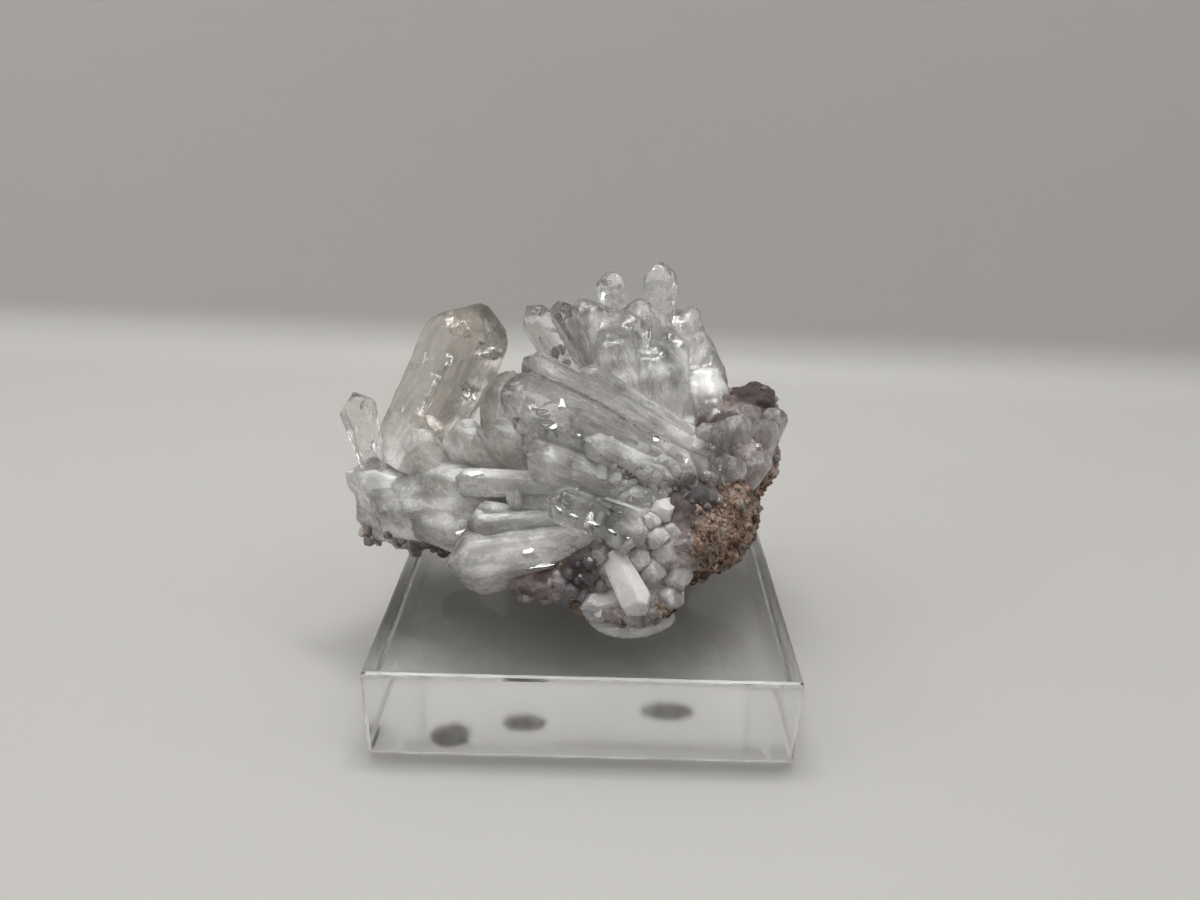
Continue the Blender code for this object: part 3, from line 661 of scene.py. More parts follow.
FEATHER_SIDES = 20
FEATHER_RINGS = (0.35, 0.7, 1.0)
FEATHER_COUNT = 6
FEWER_FEATHERS = {"great": 1, "canoe": 3}
FEATHER_THIN = 0.02 * MM
FEATHER_WAVE = 0.10
FEATHER_CLEAR = 0.12 * MM
CLEAVAGE_LEAN = math.radians(44)
FLASH_DEEP = 1.7
INWARD = Vector((0, 0.92, -0.40))
FLASH_FACING = Vector((0, -0.43, 0.90))
ACROSS = Vector((1, 0.02, 0.01))
FLASHES = {
    "great": [((-16.4, 4.7, 43.4), 2.2, 1.0), ((-15.9, 1.1, 36.2), 1.6, 0.5), ((-13.4, 3.5, 39.9), 1.4, 0.5)],
    "crystal_spray_front": [((-8.4, -5.8, 39.1), 1.3, 0.6), ((-5.7, -7.2, 36.0), 1.7, 0.5),
                            ((-2.6, -5.8, 36.7), 1.1, 0.5), ((-1.4, -9.6, 27.7), 0.9, 0.7)],
    "log": [((-13.8, -8.1, 28.7), 1.0, 0.7)],
    "keel": [((-7.0, -14.0, 21.6), 1.0, 0.8), ((-5.4, -14.3, 19.6), 1.5, 0.4)],
    "summit": [((11.1, 20.8, 42.4), 1.1, 0.6)],
    "peak": [((0.7, 21.9, 44.1), 0.9, 0.6)],
    "first": [((-6.5, 11.5, 41.0), 1.1, 0.6)],
}


def feather(centre, facing, radius, seed, stretch=1.0):
    """The points and faces of one thin crack: a wavy lens of air, with its faces pointing into the air."""
    side = (ACROSS - facing * facing.dot(ACROSS)).normalized()
    other = facing.cross(side)
    sheets = []
    for sign in (1, -1):
        points = [centre + facing * (sign * FEATHER_THIN)]
        for ring in FEATHER_RINGS:
            for step in range(FEATHER_SIDES):
                around = 2 * math.pi * step / FEATHER_SIDES
                out = radius * ring * (1 + 0.35 * noise.noise(Vector((math.cos(around), math.sin(around), seed))))
                flat = side * (out * math.cos(around)) + other * (out * stretch * math.sin(around))
                wave = FEATHER_WAVE * radius * noise.noise(flat / (0.6 * radius) + Vector((seed, 0, 0)))
                points.append(centre + flat + facing * (wave + sign * FEATHER_THIN * (1 - ring ** 2)))
        sheets.append(points)
    rim = len(sheets[0]) - FEATHER_SIDES
    points = sheets[0] + sheets[1][:rim]
    lower = list(range(len(sheets[0]), len(points))) + list(range(rim, len(sheets[0])))
    faces = []
    for numbers, flip in ((list(range(len(sheets[0]))), 1), (lower, -1)):
        for step in range(FEATHER_SIDES):
            after = (step + 1) % FEATHER_SIDES
            faces.append([numbers[0], numbers[1 + after], numbers[1 + step]][::flip])
            for ring in range(len(FEATHER_RINGS) - 1):
                inner, outer = 1 + ring * FEATHER_SIDES, 1 + (ring + 1) * FEATHER_SIDES
                faces.append([numbers[inner + step], numbers[inner + after], numbers[outer + after],
                              numbers[outer + step]][::flip])
    return points, faces


def add_feathers(mesh, crystal, index, count):
    """Adds thin cracks inside a crystal, where they lie well under its skin."""
    bm = bmesh.new()
    bm.from_mesh(mesh)
    skin_tree = BVHTree.FromBMesh(bm)
    stand = crystal_matrix(crystal, index)
    length = (Vector(crystal.tip) - Vector(crystal.root)).length * MM
    for number in range(count):
        share = 0.30 + 0.58 * ((number * 0.618 + index * 0.37) % 1)
        around = math.radians(137.5) * (number * 1.7 + index)
        off = 0.22 * ((number * 0.754 + 0.3) % 1)
        radius = crystal.thick * MM * (0.16 + 0.16 * ((number * 0.569 + index * 0.71) % 1))
        spot = Vector((off * crystal.width * math.cos(around), off * crystal.thick * math.sin(around), 0)) * MM
        centre = stand @ (spot + Vector((0, 0, share * length)))
        turn = math.radians(120 * (number % 3) + 25 * math.sin(number + index))
        lean = CLEAVAGE_LEAN + 0.5 * math.sin(3.1 * number + index)
        facing = Vector((math.sin(lean) * math.cos(turn), math.sin(lean) * math.sin(turn), math.cos(lean)))
        facing = (stand.to_3x3() @ facing).normalized()
        points, faces = feather(centre, facing, radius, 3.7 * number + index)
        if all(under_skin(skin_tree, point) for point in points):
            made = [bm.verts.new(point) for point in points]
            for face in faces:
                bm.faces.new([made[corner] for corner in face])
    bm.to_mesh(mesh)
    bm.free()


def add_flashes(mesh, flashes):
    """Adds wide cracks just under the skin, each turned so that it mirrors the light overhead."""
    bm = bmesh.new()
    bm.from_mesh(mesh)
    skin_tree = BVHTree.FromBMesh(bm)
    placed = 0
    for number, (spot, radius, stretch) in enumerate(flashes):
        centre = (Vector(spot) + FLASH_DEEP * INWARD) * MM
        for shrink in (1.0, 0.8, 0.6, 0.45):
            points, faces = feather(centre, FLASH_FACING, radius * shrink * MM, 5.3 * number, stretch)
            if all(under_skin(skin_tree, point) for point in points):
                made = [bm.verts.new(point) for point in points]
                for face in faces:
                    bm.faces.new([made[corner] for corner in face])
                placed += 1
                break
    if flashes:
        print("flashes placed:", placed, "of", len(flashes))
    bm.to_mesh(mesh)
    bm.free()


def under_skin(skin_tree, point):
    """Whether a point lies inside the crystal, well below its skin."""
    spot, normal, _, distance = skin_tree.find_nearest(point)
    return distance > FEATHER_CLEAR and (point - spot).dot(normal) < 0


def cut_by_near(piece, cutters):
    """Cuts the piece by each earlier shape whose box meets its own."""
    for cutter in cutters:
        if boxes_meet(piece.data, cutter.data):
            shape_with(piece, cutter, "DIFFERENCE")
    keep_main_body(piece.data)


def soften_skin(piece, rounds):
    """Replaces a piece's skin with an even, smoothed one."""
    skin = piece.modifiers.new("skin", "REMESH")
    skin.mode = "VOXEL"
    skin.voxel_size = MELT_GRAIN
    soften = piece.modifiers.new("soften", "SMOOTH")
    soften.iterations = rounds
    apply_modifiers(piece)


def move_skin(piece, distance_at):
    """Moves each point of the skin along its normal by a distance that depends on its place."""
    normals = [vert.normal.copy() for vert in piece.data.vertices]
    for vert, normal in zip(piece.data.vertices, normals):
        vert.co += normal * distance_at(vert.co)


def melt_ridge(place):
    """How far a soft ridge along the mass stands out at a place."""
    x, y, z = place / MM
    return MELT_RIDGE * noise.noise(Vector((0.07 * x, 0.5 * y, 0.6 * z - 0.12 * x)))


def melt(piece, swell):
    """Runs the crystals of a milky mass into each other: swollen, smoothed and shrunk back, which fills the gaps."""
    soften_skin(piece, MELT_SOFTEN)
    move_skin(piece, lambda place: MELT_LOSS - swell)
    soften_skin(piece, MELT_SETTLE)
    move_skin(piece, melt_ridge)


def cut_spray(name, crystals, base, cutters):
    """The crystals of one spray as closed pieces, free or fused to the root, and the shapes later ones stop at."""
    fused = root_body(name + "_root", base)
    soft = [(index, label) for index, label in enumerate(crystals) if label in SOFT_CRYSTALS[name]]
    for index, label in soft:
        swollen = standing_crystal("soft", crystals[label], index, MELT_SWELL[name])
        shape_with(fused, swollen, "UNION")
        bpy.data.objects.remove(swollen)
    if soft:
        melt(fused, MELT_SWELL[name])
    members = []
    pieces = []
    own_cutters = []
    for index, (label, crystal) in enumerate(crystals.items()):
        warm = WARMTH.get(label, WARMTH[name])
        if label in FREE_CRYSTALS[name]:
            piece = standing_crystal(name + "_" + label, crystal, index)
            cut_by_near(piece, cutters + own_cutters)
            add_feathers(piece.data, crystal, index, FEWER_FEATHERS.get(label, FEATHER_COUNT))
            add_flashes(piece.data, FLASHES.get(label, []))
            mark_crystals(piece.data, [(index, crystal, warm)])
            pieces.append(piece)
            own_cutters.append(standing_crystal("grown", crystal, index, AIR_FILM))
            continue
        if label not in SOFT_CRYSTALS[name]:
            piece = standing_crystal(name + "_" + label, crystal, index)
            shape_with(fused, piece, "UNION")
            bpy.data.objects.remove(piece)
        members.append((index, crystal, warm))
    outlines = [standing_crystal("grown", crystal, index, AIR_FILM) for index, crystal, _ in members]
    cut_by_near(fused, cutters + own_cutters)
    for index, crystal, _ in members:
        add_feathers(fused.data, crystal, index, FEATHER_COUNT)
    add_flashes(fused.data, FLASHES.get(name, []))
    mark_crystals(fused.data, members)
    return pieces + [fused], cutters + own_cutters + outlines + [root_body("grown", base, AIR_FILM)]


def join_pieces(name, pieces):
    """One object that holds all the pieces."""
    bm = bmesh.new()
    for piece in pieces:
        bm.from_mesh(piece.data)
        bpy.data.objects.remove(piece)
    mesh = bpy.data.meshes.new(name)
    bm.to_mesh(mesh)
    bm.free()
    mesh.shade_smooth()
    mesh.set_sharp_from_angle(angle=SHARP_EDGE)
    return link_mesh(name, mesh)


cutters = []
sprays = {}
for name, (crystals, base) in SPRAYS.items():
    pieces, cutters = cut_spray(name, crystals, base, cutters)
    sprays[name] = join_pieces(name.replace("crystal_spray", "calcite"), pieces)
    print(name, len(sprays[name].data.polygons), "faces")
for cutter in cutters:
    bpy.data.objects.remove(cutter)

# %% [markdown]
# ## Clear calcite
# Calcite is clear with a refractive index near 1.6, so the crystals are shaded as glass and their sparkle comes from
# the cut shapes. Fine grooves run along each crystal, and the lower ends are milky. The grooves follow the crystal's
# own axis, so the pattern reads the place that was stored along each crystal, not the place in the room.

# %% Calcite material
CALCITE_INDEX = 1.58
CLEAR_SHADE = (0.997, 0.995, 0.988)
WARM_SHADE = (0.57, 0.535, 0.48)
MILK_SHADE = (0.97, 0.955, 0.92)
DULL_MILK = (0.84, 0.825, 0.795)
# Grey-brown for stain, and for painted shade in the hollow at the right front
STAIN_AND_SHADE_COLOUR = (0.33, 0.285, 0.275)
GROOVE_STRETCH = (2.4, 2.4, 0.12)
SCRATCH_STRETCH = (8.0, 8.0, 0.3)
FACET_STRETCH = (1.5, 1.5, 0.4)
VEIL_STRETCH = (0.7, 0.7, 0.3)


def calcite(name, milk_shade=MILK_SHADE, relief=1.0):
    """Clear crystal with small flat facets and fine grooves, crossed by milky veils and dust."""
    material, start = new_material(name)
    grain = start.make("ShaderNodeAttribute", {"attribute_name": "grain"}, None, out=1)
    cloud = start.make("ShaderNodeAttribute", {"attribute_name": "cloud"}, None, out=2)
    warm = start.make("ShaderNodeAttribute", {"attribute_name": "warm"}, None, out=2)
    stain = start.make("ShaderNodeAttribute", {"attribute_name": "stain"}, None, out=2)
    cell_place = stretched(start, grain, FACET_STRETCH)
    cell = start.make("ShaderNodeTexVoronoi", None, {"Vector": cell_place, "Scale": 1.0}, out=1)
    away = start.make("ShaderNodeVectorMath", {"operation": "SUBTRACT"}, {0: cell_place, 1: cell.other(2)})
    lean = start.make("ShaderNodeVectorMath", {"operation": "SUBTRACT"}, {0: cell, 1: (0.5, 0.5, 0.5)})
    facets = start.make("ShaderNodeVectorMath", {"operation": "DOT_PRODUCT"}, {0: away, 1: lean}, out=1)
    grooves = grain_noise(stretched(start, grain, GROOVE_STRETCH), 1.0, 2.0, 0.5)
    scratches = grain_noise(stretched(start, grain, SCRATCH_STRETCH), 1.0, 2.0, 0.5).between(0.56, 0.64)
    dust = grain_noise(grain, 3.2, 6.0, 0.85).between(0.47, 0.56)
    veil = grain_noise(stretched(start, grain, VEIL_STRETCH), 1.0, 4.0, 0.6, 0.3).between(0.40, 0.62)
    surface_way = bumped((1.9 - 1.2 * cloud) * facets + 0.6 * grooves + 0.08 * scratches, relief, 0.0001)
    milk = (0.95 * cloud + (0.5 * cloud + 0.12) * veil * (0.3 + 0.7 * dust) + 0.14 * scratches * veil - 0.06).clamped()
    clear = start.make("ShaderNodeBsdfPrincipled", None, {
        "Base Color": warm.blend(CLEAR_SHADE, WARM_SHADE), "Transmission Weight": 1.0, "IOR": CALCITE_INDEX,
        "Roughness": 0.08 * dust, "Normal": surface_way})
    white = (0.35 + 0.25 * dust + 0.3 * veil).clamped().blend(DULL_MILK, milk_shade)
    # The milky colour darkens by the stain and shade number: real stain, and painted shade in the hollow
    milky = start.make("ShaderNodeBsdfPrincipled", None, {
        "Base Color": (stain * (0.5 + 0.6 * (1.0 - dust))).clamped().blend(white, STAIN_AND_SHADE_COLOUR),
        "Transmission Weight": 0.15, "IOR": CALCITE_INDEX, "Roughness": 0.18 + 0.2 * veil, "Normal": surface_way,
        "Subsurface Weight": 0.6, "Subsurface Radius": (1.0, 0.94, 0.86), "Subsurface Scale": 0.0016})
    mixed = start.make("ShaderNodeMixShader", None, {0: 0.94 * milk, 1: clear, 2: milky})
    finish_with(start, mixed)
    return material


for name in SPRAYS:
    dressed = sprays[name]
    dressed.data.materials.append(calcite(dressed.name))
    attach(dressed, BODY)
    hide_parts(name)
print("calcite on", ", ".join(sorted(piece.name for piece in sprays.values())))

# %% [markdown]
# ## Dirt in the grooves
# Two grooves of the front spray are dotted with brown dirt. Small lumps are dropped along each groove, each one set on
# the nearest point of the crystal's skin.

# %% Dirt
DIRT_LINES = [
    [(-7.4, -2.7, 40.4), (-3.7, -3.3, 38.8), (1.2, -2.7, 36.2), (6.3, -2.8, 32.6), (9.5, -2.2, 30.8)],
    [(1.4, -8.7, 31.8), (4.6, -8.0, 29.5), (6.3, -7.4, 28.2)],
]
DIRT_STEP = 0.20
DIRT_SCATTER = 0.24
DIRT_SIZE = 0.075

front_tree = BVHTree.FromPolygons([v.co for v in sprays["crystal_spray_front"].data.vertices],
                                  [p.vertices for p in sprays["crystal_spray_front"].data.polygons])
bm = bmesh.new()
for line in DIRT_LINES:
    for first, second in zip(line, line[1:]):
        steps = int((Vector(second) - Vector(first)).length / DIRT_STEP)
        for step in range(steps):
            spot = Vector(first).lerp(Vector(second), step / steps)
            spot += noise.noise_vector(spot * 5.3) * DIRT_SCATTER
            size = DIRT_SIZE * (1.4 + 1.8 * noise.noise(spot * 7.7)) * MM
            skin_spot, _, _, _ = front_tree.find_nearest(spot * MM)
            ball = bmesh.ops.create_icosphere(bm, subdivisions=1, radius=max(size, 0.3 * DIRT_SIZE * MM))
            bmesh.ops.translate(bm, vec=skin_spot, verts=ball["verts"])
mesh = bpy.data.meshes.new("groove_dirt")
bm.to_mesh(mesh)
bm.free()
dirt = link_mesh("groove_dirt", mesh)
material, start = new_material("dirt")
place = start.make("ShaderNodeTexCoord", None, None, out=3)
surface = start.make("ShaderNodeBsdfPrincipled", None, {
    "Base Color": grain_noise(place, 3000.0).blend((0.06, 0.045, 0.03), (0.27, 0.21, 0.14)), "Roughness": 0.9})
finish_with(start, surface)
dirt.data.materials.append(material)
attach(dirt, BODY)
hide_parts("crystal_spray_front")
print("dirt:", len(dirt.data.polygons), "faces")

# %% [markdown]
# ## Bright facets
# The real crystals sparkle where a small cleavage step happens to mirror the lamp overhead. A smooth skin has none, so
# small clear plates are set into it at those steps. Each plate faces half-way between the viewer's side and the sky.

# %% Bright facets
# Place on the skin, length, width, turn in the plate's own plane, and number of strips side by side
GLINTS = {
    "crystal_spray_front": [
        ((-8.8, -6.0, 39.3), 1.9, 1.4, 0.35, 2), ((-9.4, -6.2, 38.4), 1.6, 0.7, 0.45, 1),
        ((-6.9, -7.0, 37.4), 2.0, 1.1, -0.60, 1), ((-5.4, -7.3, 36.4), 1.8, 1.0, -0.60, 1),
        ((-4.9, -7.3, 35.0), 2.4, 1.0, -0.55, 1), ((-3.3, -6.2, 37.2), 0.8, 1.8, 0.20, 1),
        ((-1.2, -6.5, 33.6), 1.1, 0.9, 0.40, 1), ((-0.2, -6.5, 33.0), 1.3, 0.9, -0.30, 1), ((-13.8, -8.4, 28.7), 1.9, 1.0, 0.0, 1),
        ((-1.3, -10.1, 28.2), 1.1, 0.9, 0.5, 1), ((-6.9, -14.1, 21.5), 1.6, 1.3, 0.2, 1),
        ((-5.2, -14.6, 19.9), 3.6, 0.8, 0.15, 3), ((8.2, -3.1, 31.5), 1.1, 0.5, -0.6, 1),
        ((-3.2, -13.7, 27.2), 1.4, 0.30, -0.9, 1), ((-1.7, -14.2, 26.6), 1.8, 0.35, -0.6, 1),
        ((0.4, -14.3, 25.8), 1.9, 0.35, -0.5, 1), ((2.6, -14.5, 24.9), 1.7, 0.30, -0.6, 1),
        ((4.6, -14.4, 24.0), 1.2, 0.40, -0.3, 1), ((-7.9, -2.4, 41.1), 1.2, 0.5, 0.6, 2),
        ((2.4, -6.0, 32.6), 1.0, 0.6, -0.5, 1), ((4.8, -8.2, 29.0), 1.0, 0.6, 0.4, 1)],
    "crystal_spray_left": [
        ((-15.9, 0.8, 36.0), 1.0, 2.8, 0.35, 1), ((-15.0, 0.9, 35.4), 0.5, 2.2, 0.35, 1),
        ((-15.5, -10.5, 21.8), 1.1, 0.7, 0.3, 1)],
    "crystal_spray_back": [
        ((11.2, 21.2, 43.1), 0.8, 2.2, 0.1, 2), ((1.9, 21.4, 45.4), 1.2, 0.6, 0.3, 1),
        ((15.1, 16.4, 38.6), 0.8, 0.9, 0.0, 1)],
}
GLINT_CORNERS = 7
GLINT_RISE = 0.12
GLINT_SINK = 0.45
GLINT_GAP = 0.7
GLINT_TILT = 0.05


def add_plate(bm, centre, along, facing, length, width, seed):
    """Adds one small plate with uneven corners, facing a given way."""
    over = facing.cross(along)
    corners = []
    for corner in range(GLINT_CORNERS):
        around = 2 * math.pi * corner / GLINT_CORNERS
        out = 0.5 * (1 + 0.7 * noise.noise(Vector((2 * math.cos(around), 2 * math.sin(around), seed))))
        corners.append(centre + along * (length * out * math.cos(around)) + over * (width * out * math.sin(around)))
    top = [bm.verts.new((corner + facing * GLINT_RISE) * MM) for corner in corners]
    bottom = [bm.verts.new((corner - facing * GLINT_SINK) * MM) for corner in corners]
    bm.faces.new(top)
    bm.faces.new(bottom[::-1])
    for corner in range(GLINT_CORNERS):
        after = (corner + 1) % GLINT_CORNERS
        bm.faces.new((bottom[corner], bottom[after], top[after], top[corner]))


glint_finish, start = new_material("bright_facets")
place = start.make("ShaderNodeTexCoord", None, None, out=3)
surface = start.make("ShaderNodeBsdfPrincipled", None, {
    "Base Color": grain_noise(place, 900.0).blend((0.93, 0.93, 0.92), (0.99, 0.99, 0.985)), "Transmission Weight": 1.0,
    "IOR": CALCITE_INDEX, "Roughness": 0.06, "Coat Weight": 1.0, "Coat Roughness": 0.04,
    "Normal": bumped(grain_noise(stretched(start, place, (600.0, 3000.0, 3000.0)), 1.0), 0.3, 0.00003)})
finish_with(start, surface)
for name, glints in GLINTS.items():
    skin = sprays[name].data
    skin_tree = BVHTree.FromPolygons([v.co for v in skin.vertices], [p.vertices for p in skin.polygons])
    bm = bmesh.new()
    for spot, length, width, turn, strips in glints:
        centre = skin_tree.find_nearest(Vector(spot) * MM)[0] / MM
        for strip in range(strips):
            tilt = noise.noise_vector(centre * 1.7 + Vector((strip * 2.3, 0, 0))) * GLINT_TILT
            facing = (FLASH_FACING + tilt).normalized()
            side = (ACROSS - facing * facing.dot(ACROSS)).normalized()
            along = side * math.cos(turn) + facing.cross(side) * math.sin(turn)
            shift = facing.cross(along) * (width * ((strip + 0.5) / strips - 0.5))
            strip_length = length * (1 - 0.35 * (strip % 2))
            add_plate(bm, centre + shift, along, facing, strip_length, width / strips * (GLINT_GAP if strips > 1 else 1),
                      3.1 * strip + spot[0])
    mesh = bpy.data.meshes.new(name.replace("crystal_spray", "facets"))
    bm.to_mesh(mesh)
    bm.free()
    plates = link_mesh(mesh.name, mesh)
    plates.data.materials.append(glint_finish)
    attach(plates, BODY)
    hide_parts(name)
    print(plates.name, len(glints), "sparkles")

# %% [markdown]
# ## The rock
# The rock is an irregular lump, so it starts as overlapping egg shapes that are melted into one skin by a voxel
# remesh. Noise at several sizes then moves the skin in and out: lumps, then grains, then pits.

# %% Rock
ROCK_LOBES = {
    "middle": ((4, -1, 19.5), (13, 12, 7.0)),
    "front": ((2.5, -9.5, 17.5), (10.5, 6.0, 4.8)),
    "front_left": ((-5.0, -12.2, 17.2), (6.0, 3.6, 3.0)),
    "right": ((13.4, 1, 20.0), (9.0, 11, 7.2)),
    "right_face": ((11.5, -8.0, 20.5), (5.0, 6.0, 5.5)),
    "back_right": ((18.8, 8.5, 25.5), (7.2, 8.5, 7.2)),
    "knob": ((21.8, 12.5, 30.4), (3.6, 3.4, 3.4)),
    "left": ((-15, 0.5, 17.2), (13.5, 7.0, 3.6)),
    "back": ((3, 10, 20), (13, 9, 6.0)),
    "front_foot": ((4.8, -13.4, 14.6), (6.6, 4.2, 2.9)),
    "left_foot": ((-18.6, 4, 14.3), (3.0, 4.2, 2.4)),
    "middle_foot": ((-8.5, 8.8, 14.4), (3.6, 3.0, 2.5)),
    "back_foot": ((12, 14, 14.6), (4.2, 3.2, 2.7)),
}
BLOCK_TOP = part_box("display_block")[1].z
ROCK_SIT = 1.5 * MM
ROCK_GRAIN = 0.34 * MM
ROCK_SOFTEN = 12
ROCK_LUMP = 1.1 * MM
ROCK_LUMP_SPAN = 4.5 * MM


def lump_height(place):
    """How far the rock's surface stands out at a place: lumps, grains and pits."""
    broad = noise.noise(place / ROCK_LUMP_SPAN) + 0.5 * noise.noise(place / (0.45 * ROCK_LUMP_SPAN) + Vector((9, 2, 5)))
    grains = noise.noise(place / (0.9 * MM)) * 0.28 + noise.noise(place / (0.45 * MM)) * 0.14
    crumbs = 0.30 * (0.5 - noise.voronoi(place / (1.3 * MM))[0][0])
    return ROCK_LUMP * broad + MM * (grains + crumbs)


bm = bmesh.new()
for centre, half_lengths in ROCK_LOBES.values():
    made = bmesh.ops.create_icosphere(bm, subdivisions=4, radius=1)
    bmesh.ops.scale(bm, vec=in_millimetres(half_lengths), verts=made["verts"])
    bmesh.ops.translate(bm, vec=in_millimetres(centre), verts=made["verts"])
mesh = bpy.data.meshes.new("rock_matrix")
bm.to_mesh(mesh)
bm.free()
rock = link_mesh("rock_matrix", mesh)
skin = rock.modifiers.new("skin", "REMESH")
skin.mode = "VOXEL"
skin.voxel_size = ROCK_GRAIN
soften = rock.modifiers.new("soften", "SMOOTH")
soften.iterations = ROCK_SOFTEN
apply_modifiers(rock)
normals = [vert.normal.copy() for vert in rock.data.vertices]
for vert, normal in zip(rock.data.vertices, normals):
    vert.co += normal * lump_height(vert.co)
    vert.co.z = max(vert.co.z, BLOCK_TOP + ROCK_SIT * 0.3)
rock.data.shade_smooth()
print("rock:", len(rock.data.polygons), "faces")

# %% [markdown]
# ## Crystals on the rock
# Shorter crystals stand on the rock itself. The larger ones are placed one by one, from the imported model's table.

# %% Larger crystals of the rock
ROCK_CRYSTALS = {
    "foot": Crystal((3.2, -13.0, 20.7), (7.0, -18.4, 15.8), 4.4, 3.8, 0.85, 1.8),
    "foot_block": Crystal((9.6, -12.0, 16.0), (-0.4, -16.6, 15.0), 4.2, 3.6, 0.9, 1.4),
    "foot_edge": Crystal((8.4, -9.5, 16.4), (10.6, -16.2, 15.2), 4.4, 3.4, 0.9, 1.3),
    "foot_end": Crystal((-1.0, -9.5, 17.0), (-3.6, -15.2, 15.0), 3.2, 2.6, 0.9, 0.9),
    "foot_left": Crystal((-0.5, -9.0, 16.5), (0.2, -15.8, 15.6), 3.0, 2.6, 0.9, 1.2),
    "foot_high": Crystal((4.5, -9.5, 20.0), (6.8, -15.2, 20.2), 3.6, 2.8, 0.9, 1.2),
    "foot_shard": Crystal((6.0, -9.5, 18.5), (8.6, -15.6, 18.8), 4.0, 3.0, 0.9, 1.3),
    "cheek": Crystal((8.5, -7.5, 20.0), (10.2, -14.0, 20.6), 4.6, 3.4, 0.9, 1.4),
    "cheek_low": Crystal((9.0, -8.5, 17.5), (12.0, -15.0, 17.6), 4.4, 3.4, 0.9, 1.1),
    "cheek_right": Crystal((9.5, -7.5, 19.5), (13.6, -12.6, 19.0), 4.2, 3.2, 0.9, 0.8),
    "cheek_side": Crystal((10.5, -6.5, 21.5), (13.2, -12.0, 21.8), 3.8, 3.0, 0.9, 1.0),
    "cheek_high": Crystal((8.0, -7.0, 21.5), (11.4, -12.2, 23.2), 3.4, 2.8, 0.9, 1.9),
    "cheek_tip": Crystal((7.5, -8.0, 22.0), (9.0, -13.4, 22.6), 3.2, 2.6, 0.9, 1.8),
    "chunk": Crystal((8.0, -6.5, 23.5), (10.2, -10.8, 25.6), 3.4, 3.0, 0.9, 2.4),
    "chunk_left": Crystal((7.0, -7.5, 23.0), (8.2, -12.0, 24.4), 2.4, 2.0, 0.9, 1.8),
    "vug_left": Crystal((10.5, -4.0, 24.0), (12.4, -8.4, 25.0), 3.0, 2.4, 0.9, 1.2),
    "vug_high": Crystal((11.0, -3.0, 25.5), (12.8, -6.6, 29.0), 3.0, 2.2, 0.9, 1.0),
    "vug_low": Crystal((11.5, -5.5, 22.0), (13.4, -10.4, 23.4), 2.8, 2.2, 0.9, 1.0),
    "slab": Crystal((13.2, 0.8, 29.6), (17.0, -4.8, 26.2), 5.6, 2.8, 0.95, 0.1),
    "spur": Crystal((13.5, 1.0, 25.0), (15.6, 0.4, 32.4), 3.6, 2.4, 0.9, 0.7),
    "brow": Crystal((16.5, 1.0, 25.5), (16.8, 0.2, 33.0), 3.8, 2.6, 0.9, 0.6),
    "flank": Crystal((18.8, 3.0, 25.5), (19.4, 1.6, 33.2), 4.4, 2.8, 0.9, 0.7),
    "flank_right": Crystal((22.4, 4.5, 25.0), (23.2, 3.4, 32.0), 4.2, 2.6, 0.9, 0.9),
    "flank_high": Crystal((21.0, 7.0, 26.0), (21.0, 5.6, 33.2), 4.2, 2.8, 0.9, 0.7),
    "flank_low": Crystal((20.5, 1.5, 23.0), (22.4, -0.2, 28.8), 4.4, 2.8, 0.9, 1.0),
    "flank_front": Crystal((17.0, -0.5, 23.5), (18.6, -3.0, 29.2), 4.2, 2.8, 0.9, 1.2),
    "brow_right": Crystal((24.0, 7.5, 26.0), (25.2, 6.4, 32.4), 3.6, 2.4, 0.9, 0.9),
    "foot_facet": Crystal((4.0, -9.5, 17.0), (4.6, -15.6, 16.6), 4.2, 3.2, 0.9, 0.8),
    "cheek_base": Crystal((10.0, -8.0, 19.0), (9.6, -13.8, 18.8), 4.0, 3.0, 0.9, 0.7),
    "cheek_back": Crystal((9.5, -7.0, 21.0), (12.2, -12.2, 20.4), 4.0, 3.0, 0.9, 1.5),
    "brink": Crystal((-4.0, -9.5, 17.5), (-6.6, -14.4, 16.6), 3.4, 2.6, 0.9, 0.6),
    "collar": Crystal((0.6, -9.5, 19.5), (2.4, -14.8, 21.0), 3.2, 2.4, 0.9, 0.9),
}
ROCK_SHAPING = {"small_faces": 2, "sharpness": 120, "fluted": 0.35}
ROCK_WARMTH = 0.15
pieces = []
for index, (label, crystal) in enumerate(ROCK_CRYSTALS.items()):
    piece = standing_crystal("rock_" + label, crystal, index, **ROCK_SHAPING)
    mark_crystals(piece.data, [(index, crystal, ROCK_WARMTH)])
    pieces.append(piece)
rock_crystals = join_pieces("rock_crystals", pieces)
MAUVE_MILK = (0.88, 0.835, 0.84)
rock_crystals.data.materials.append(calcite("rock_crystals", MAUVE_MILK, 0.5))
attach(rock_crystals, BODY)
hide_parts("rock")
print(len(ROCK_CRYSTALS), "larger crystals on the rock")

# %% [markdown]
# ## Colours and crust by place
# The rock is clay on its right and paler under the sprays. A third zone paints shade into its hollow at the right
# front, the crevices by the front foot, under the left spray and between the crystals on the right, and darkens the
# knob.
# Each zone is a few round spots, broken up by noise, stored as a number for each point. Two more numbers say where
# small crystals and crumbs may stand.

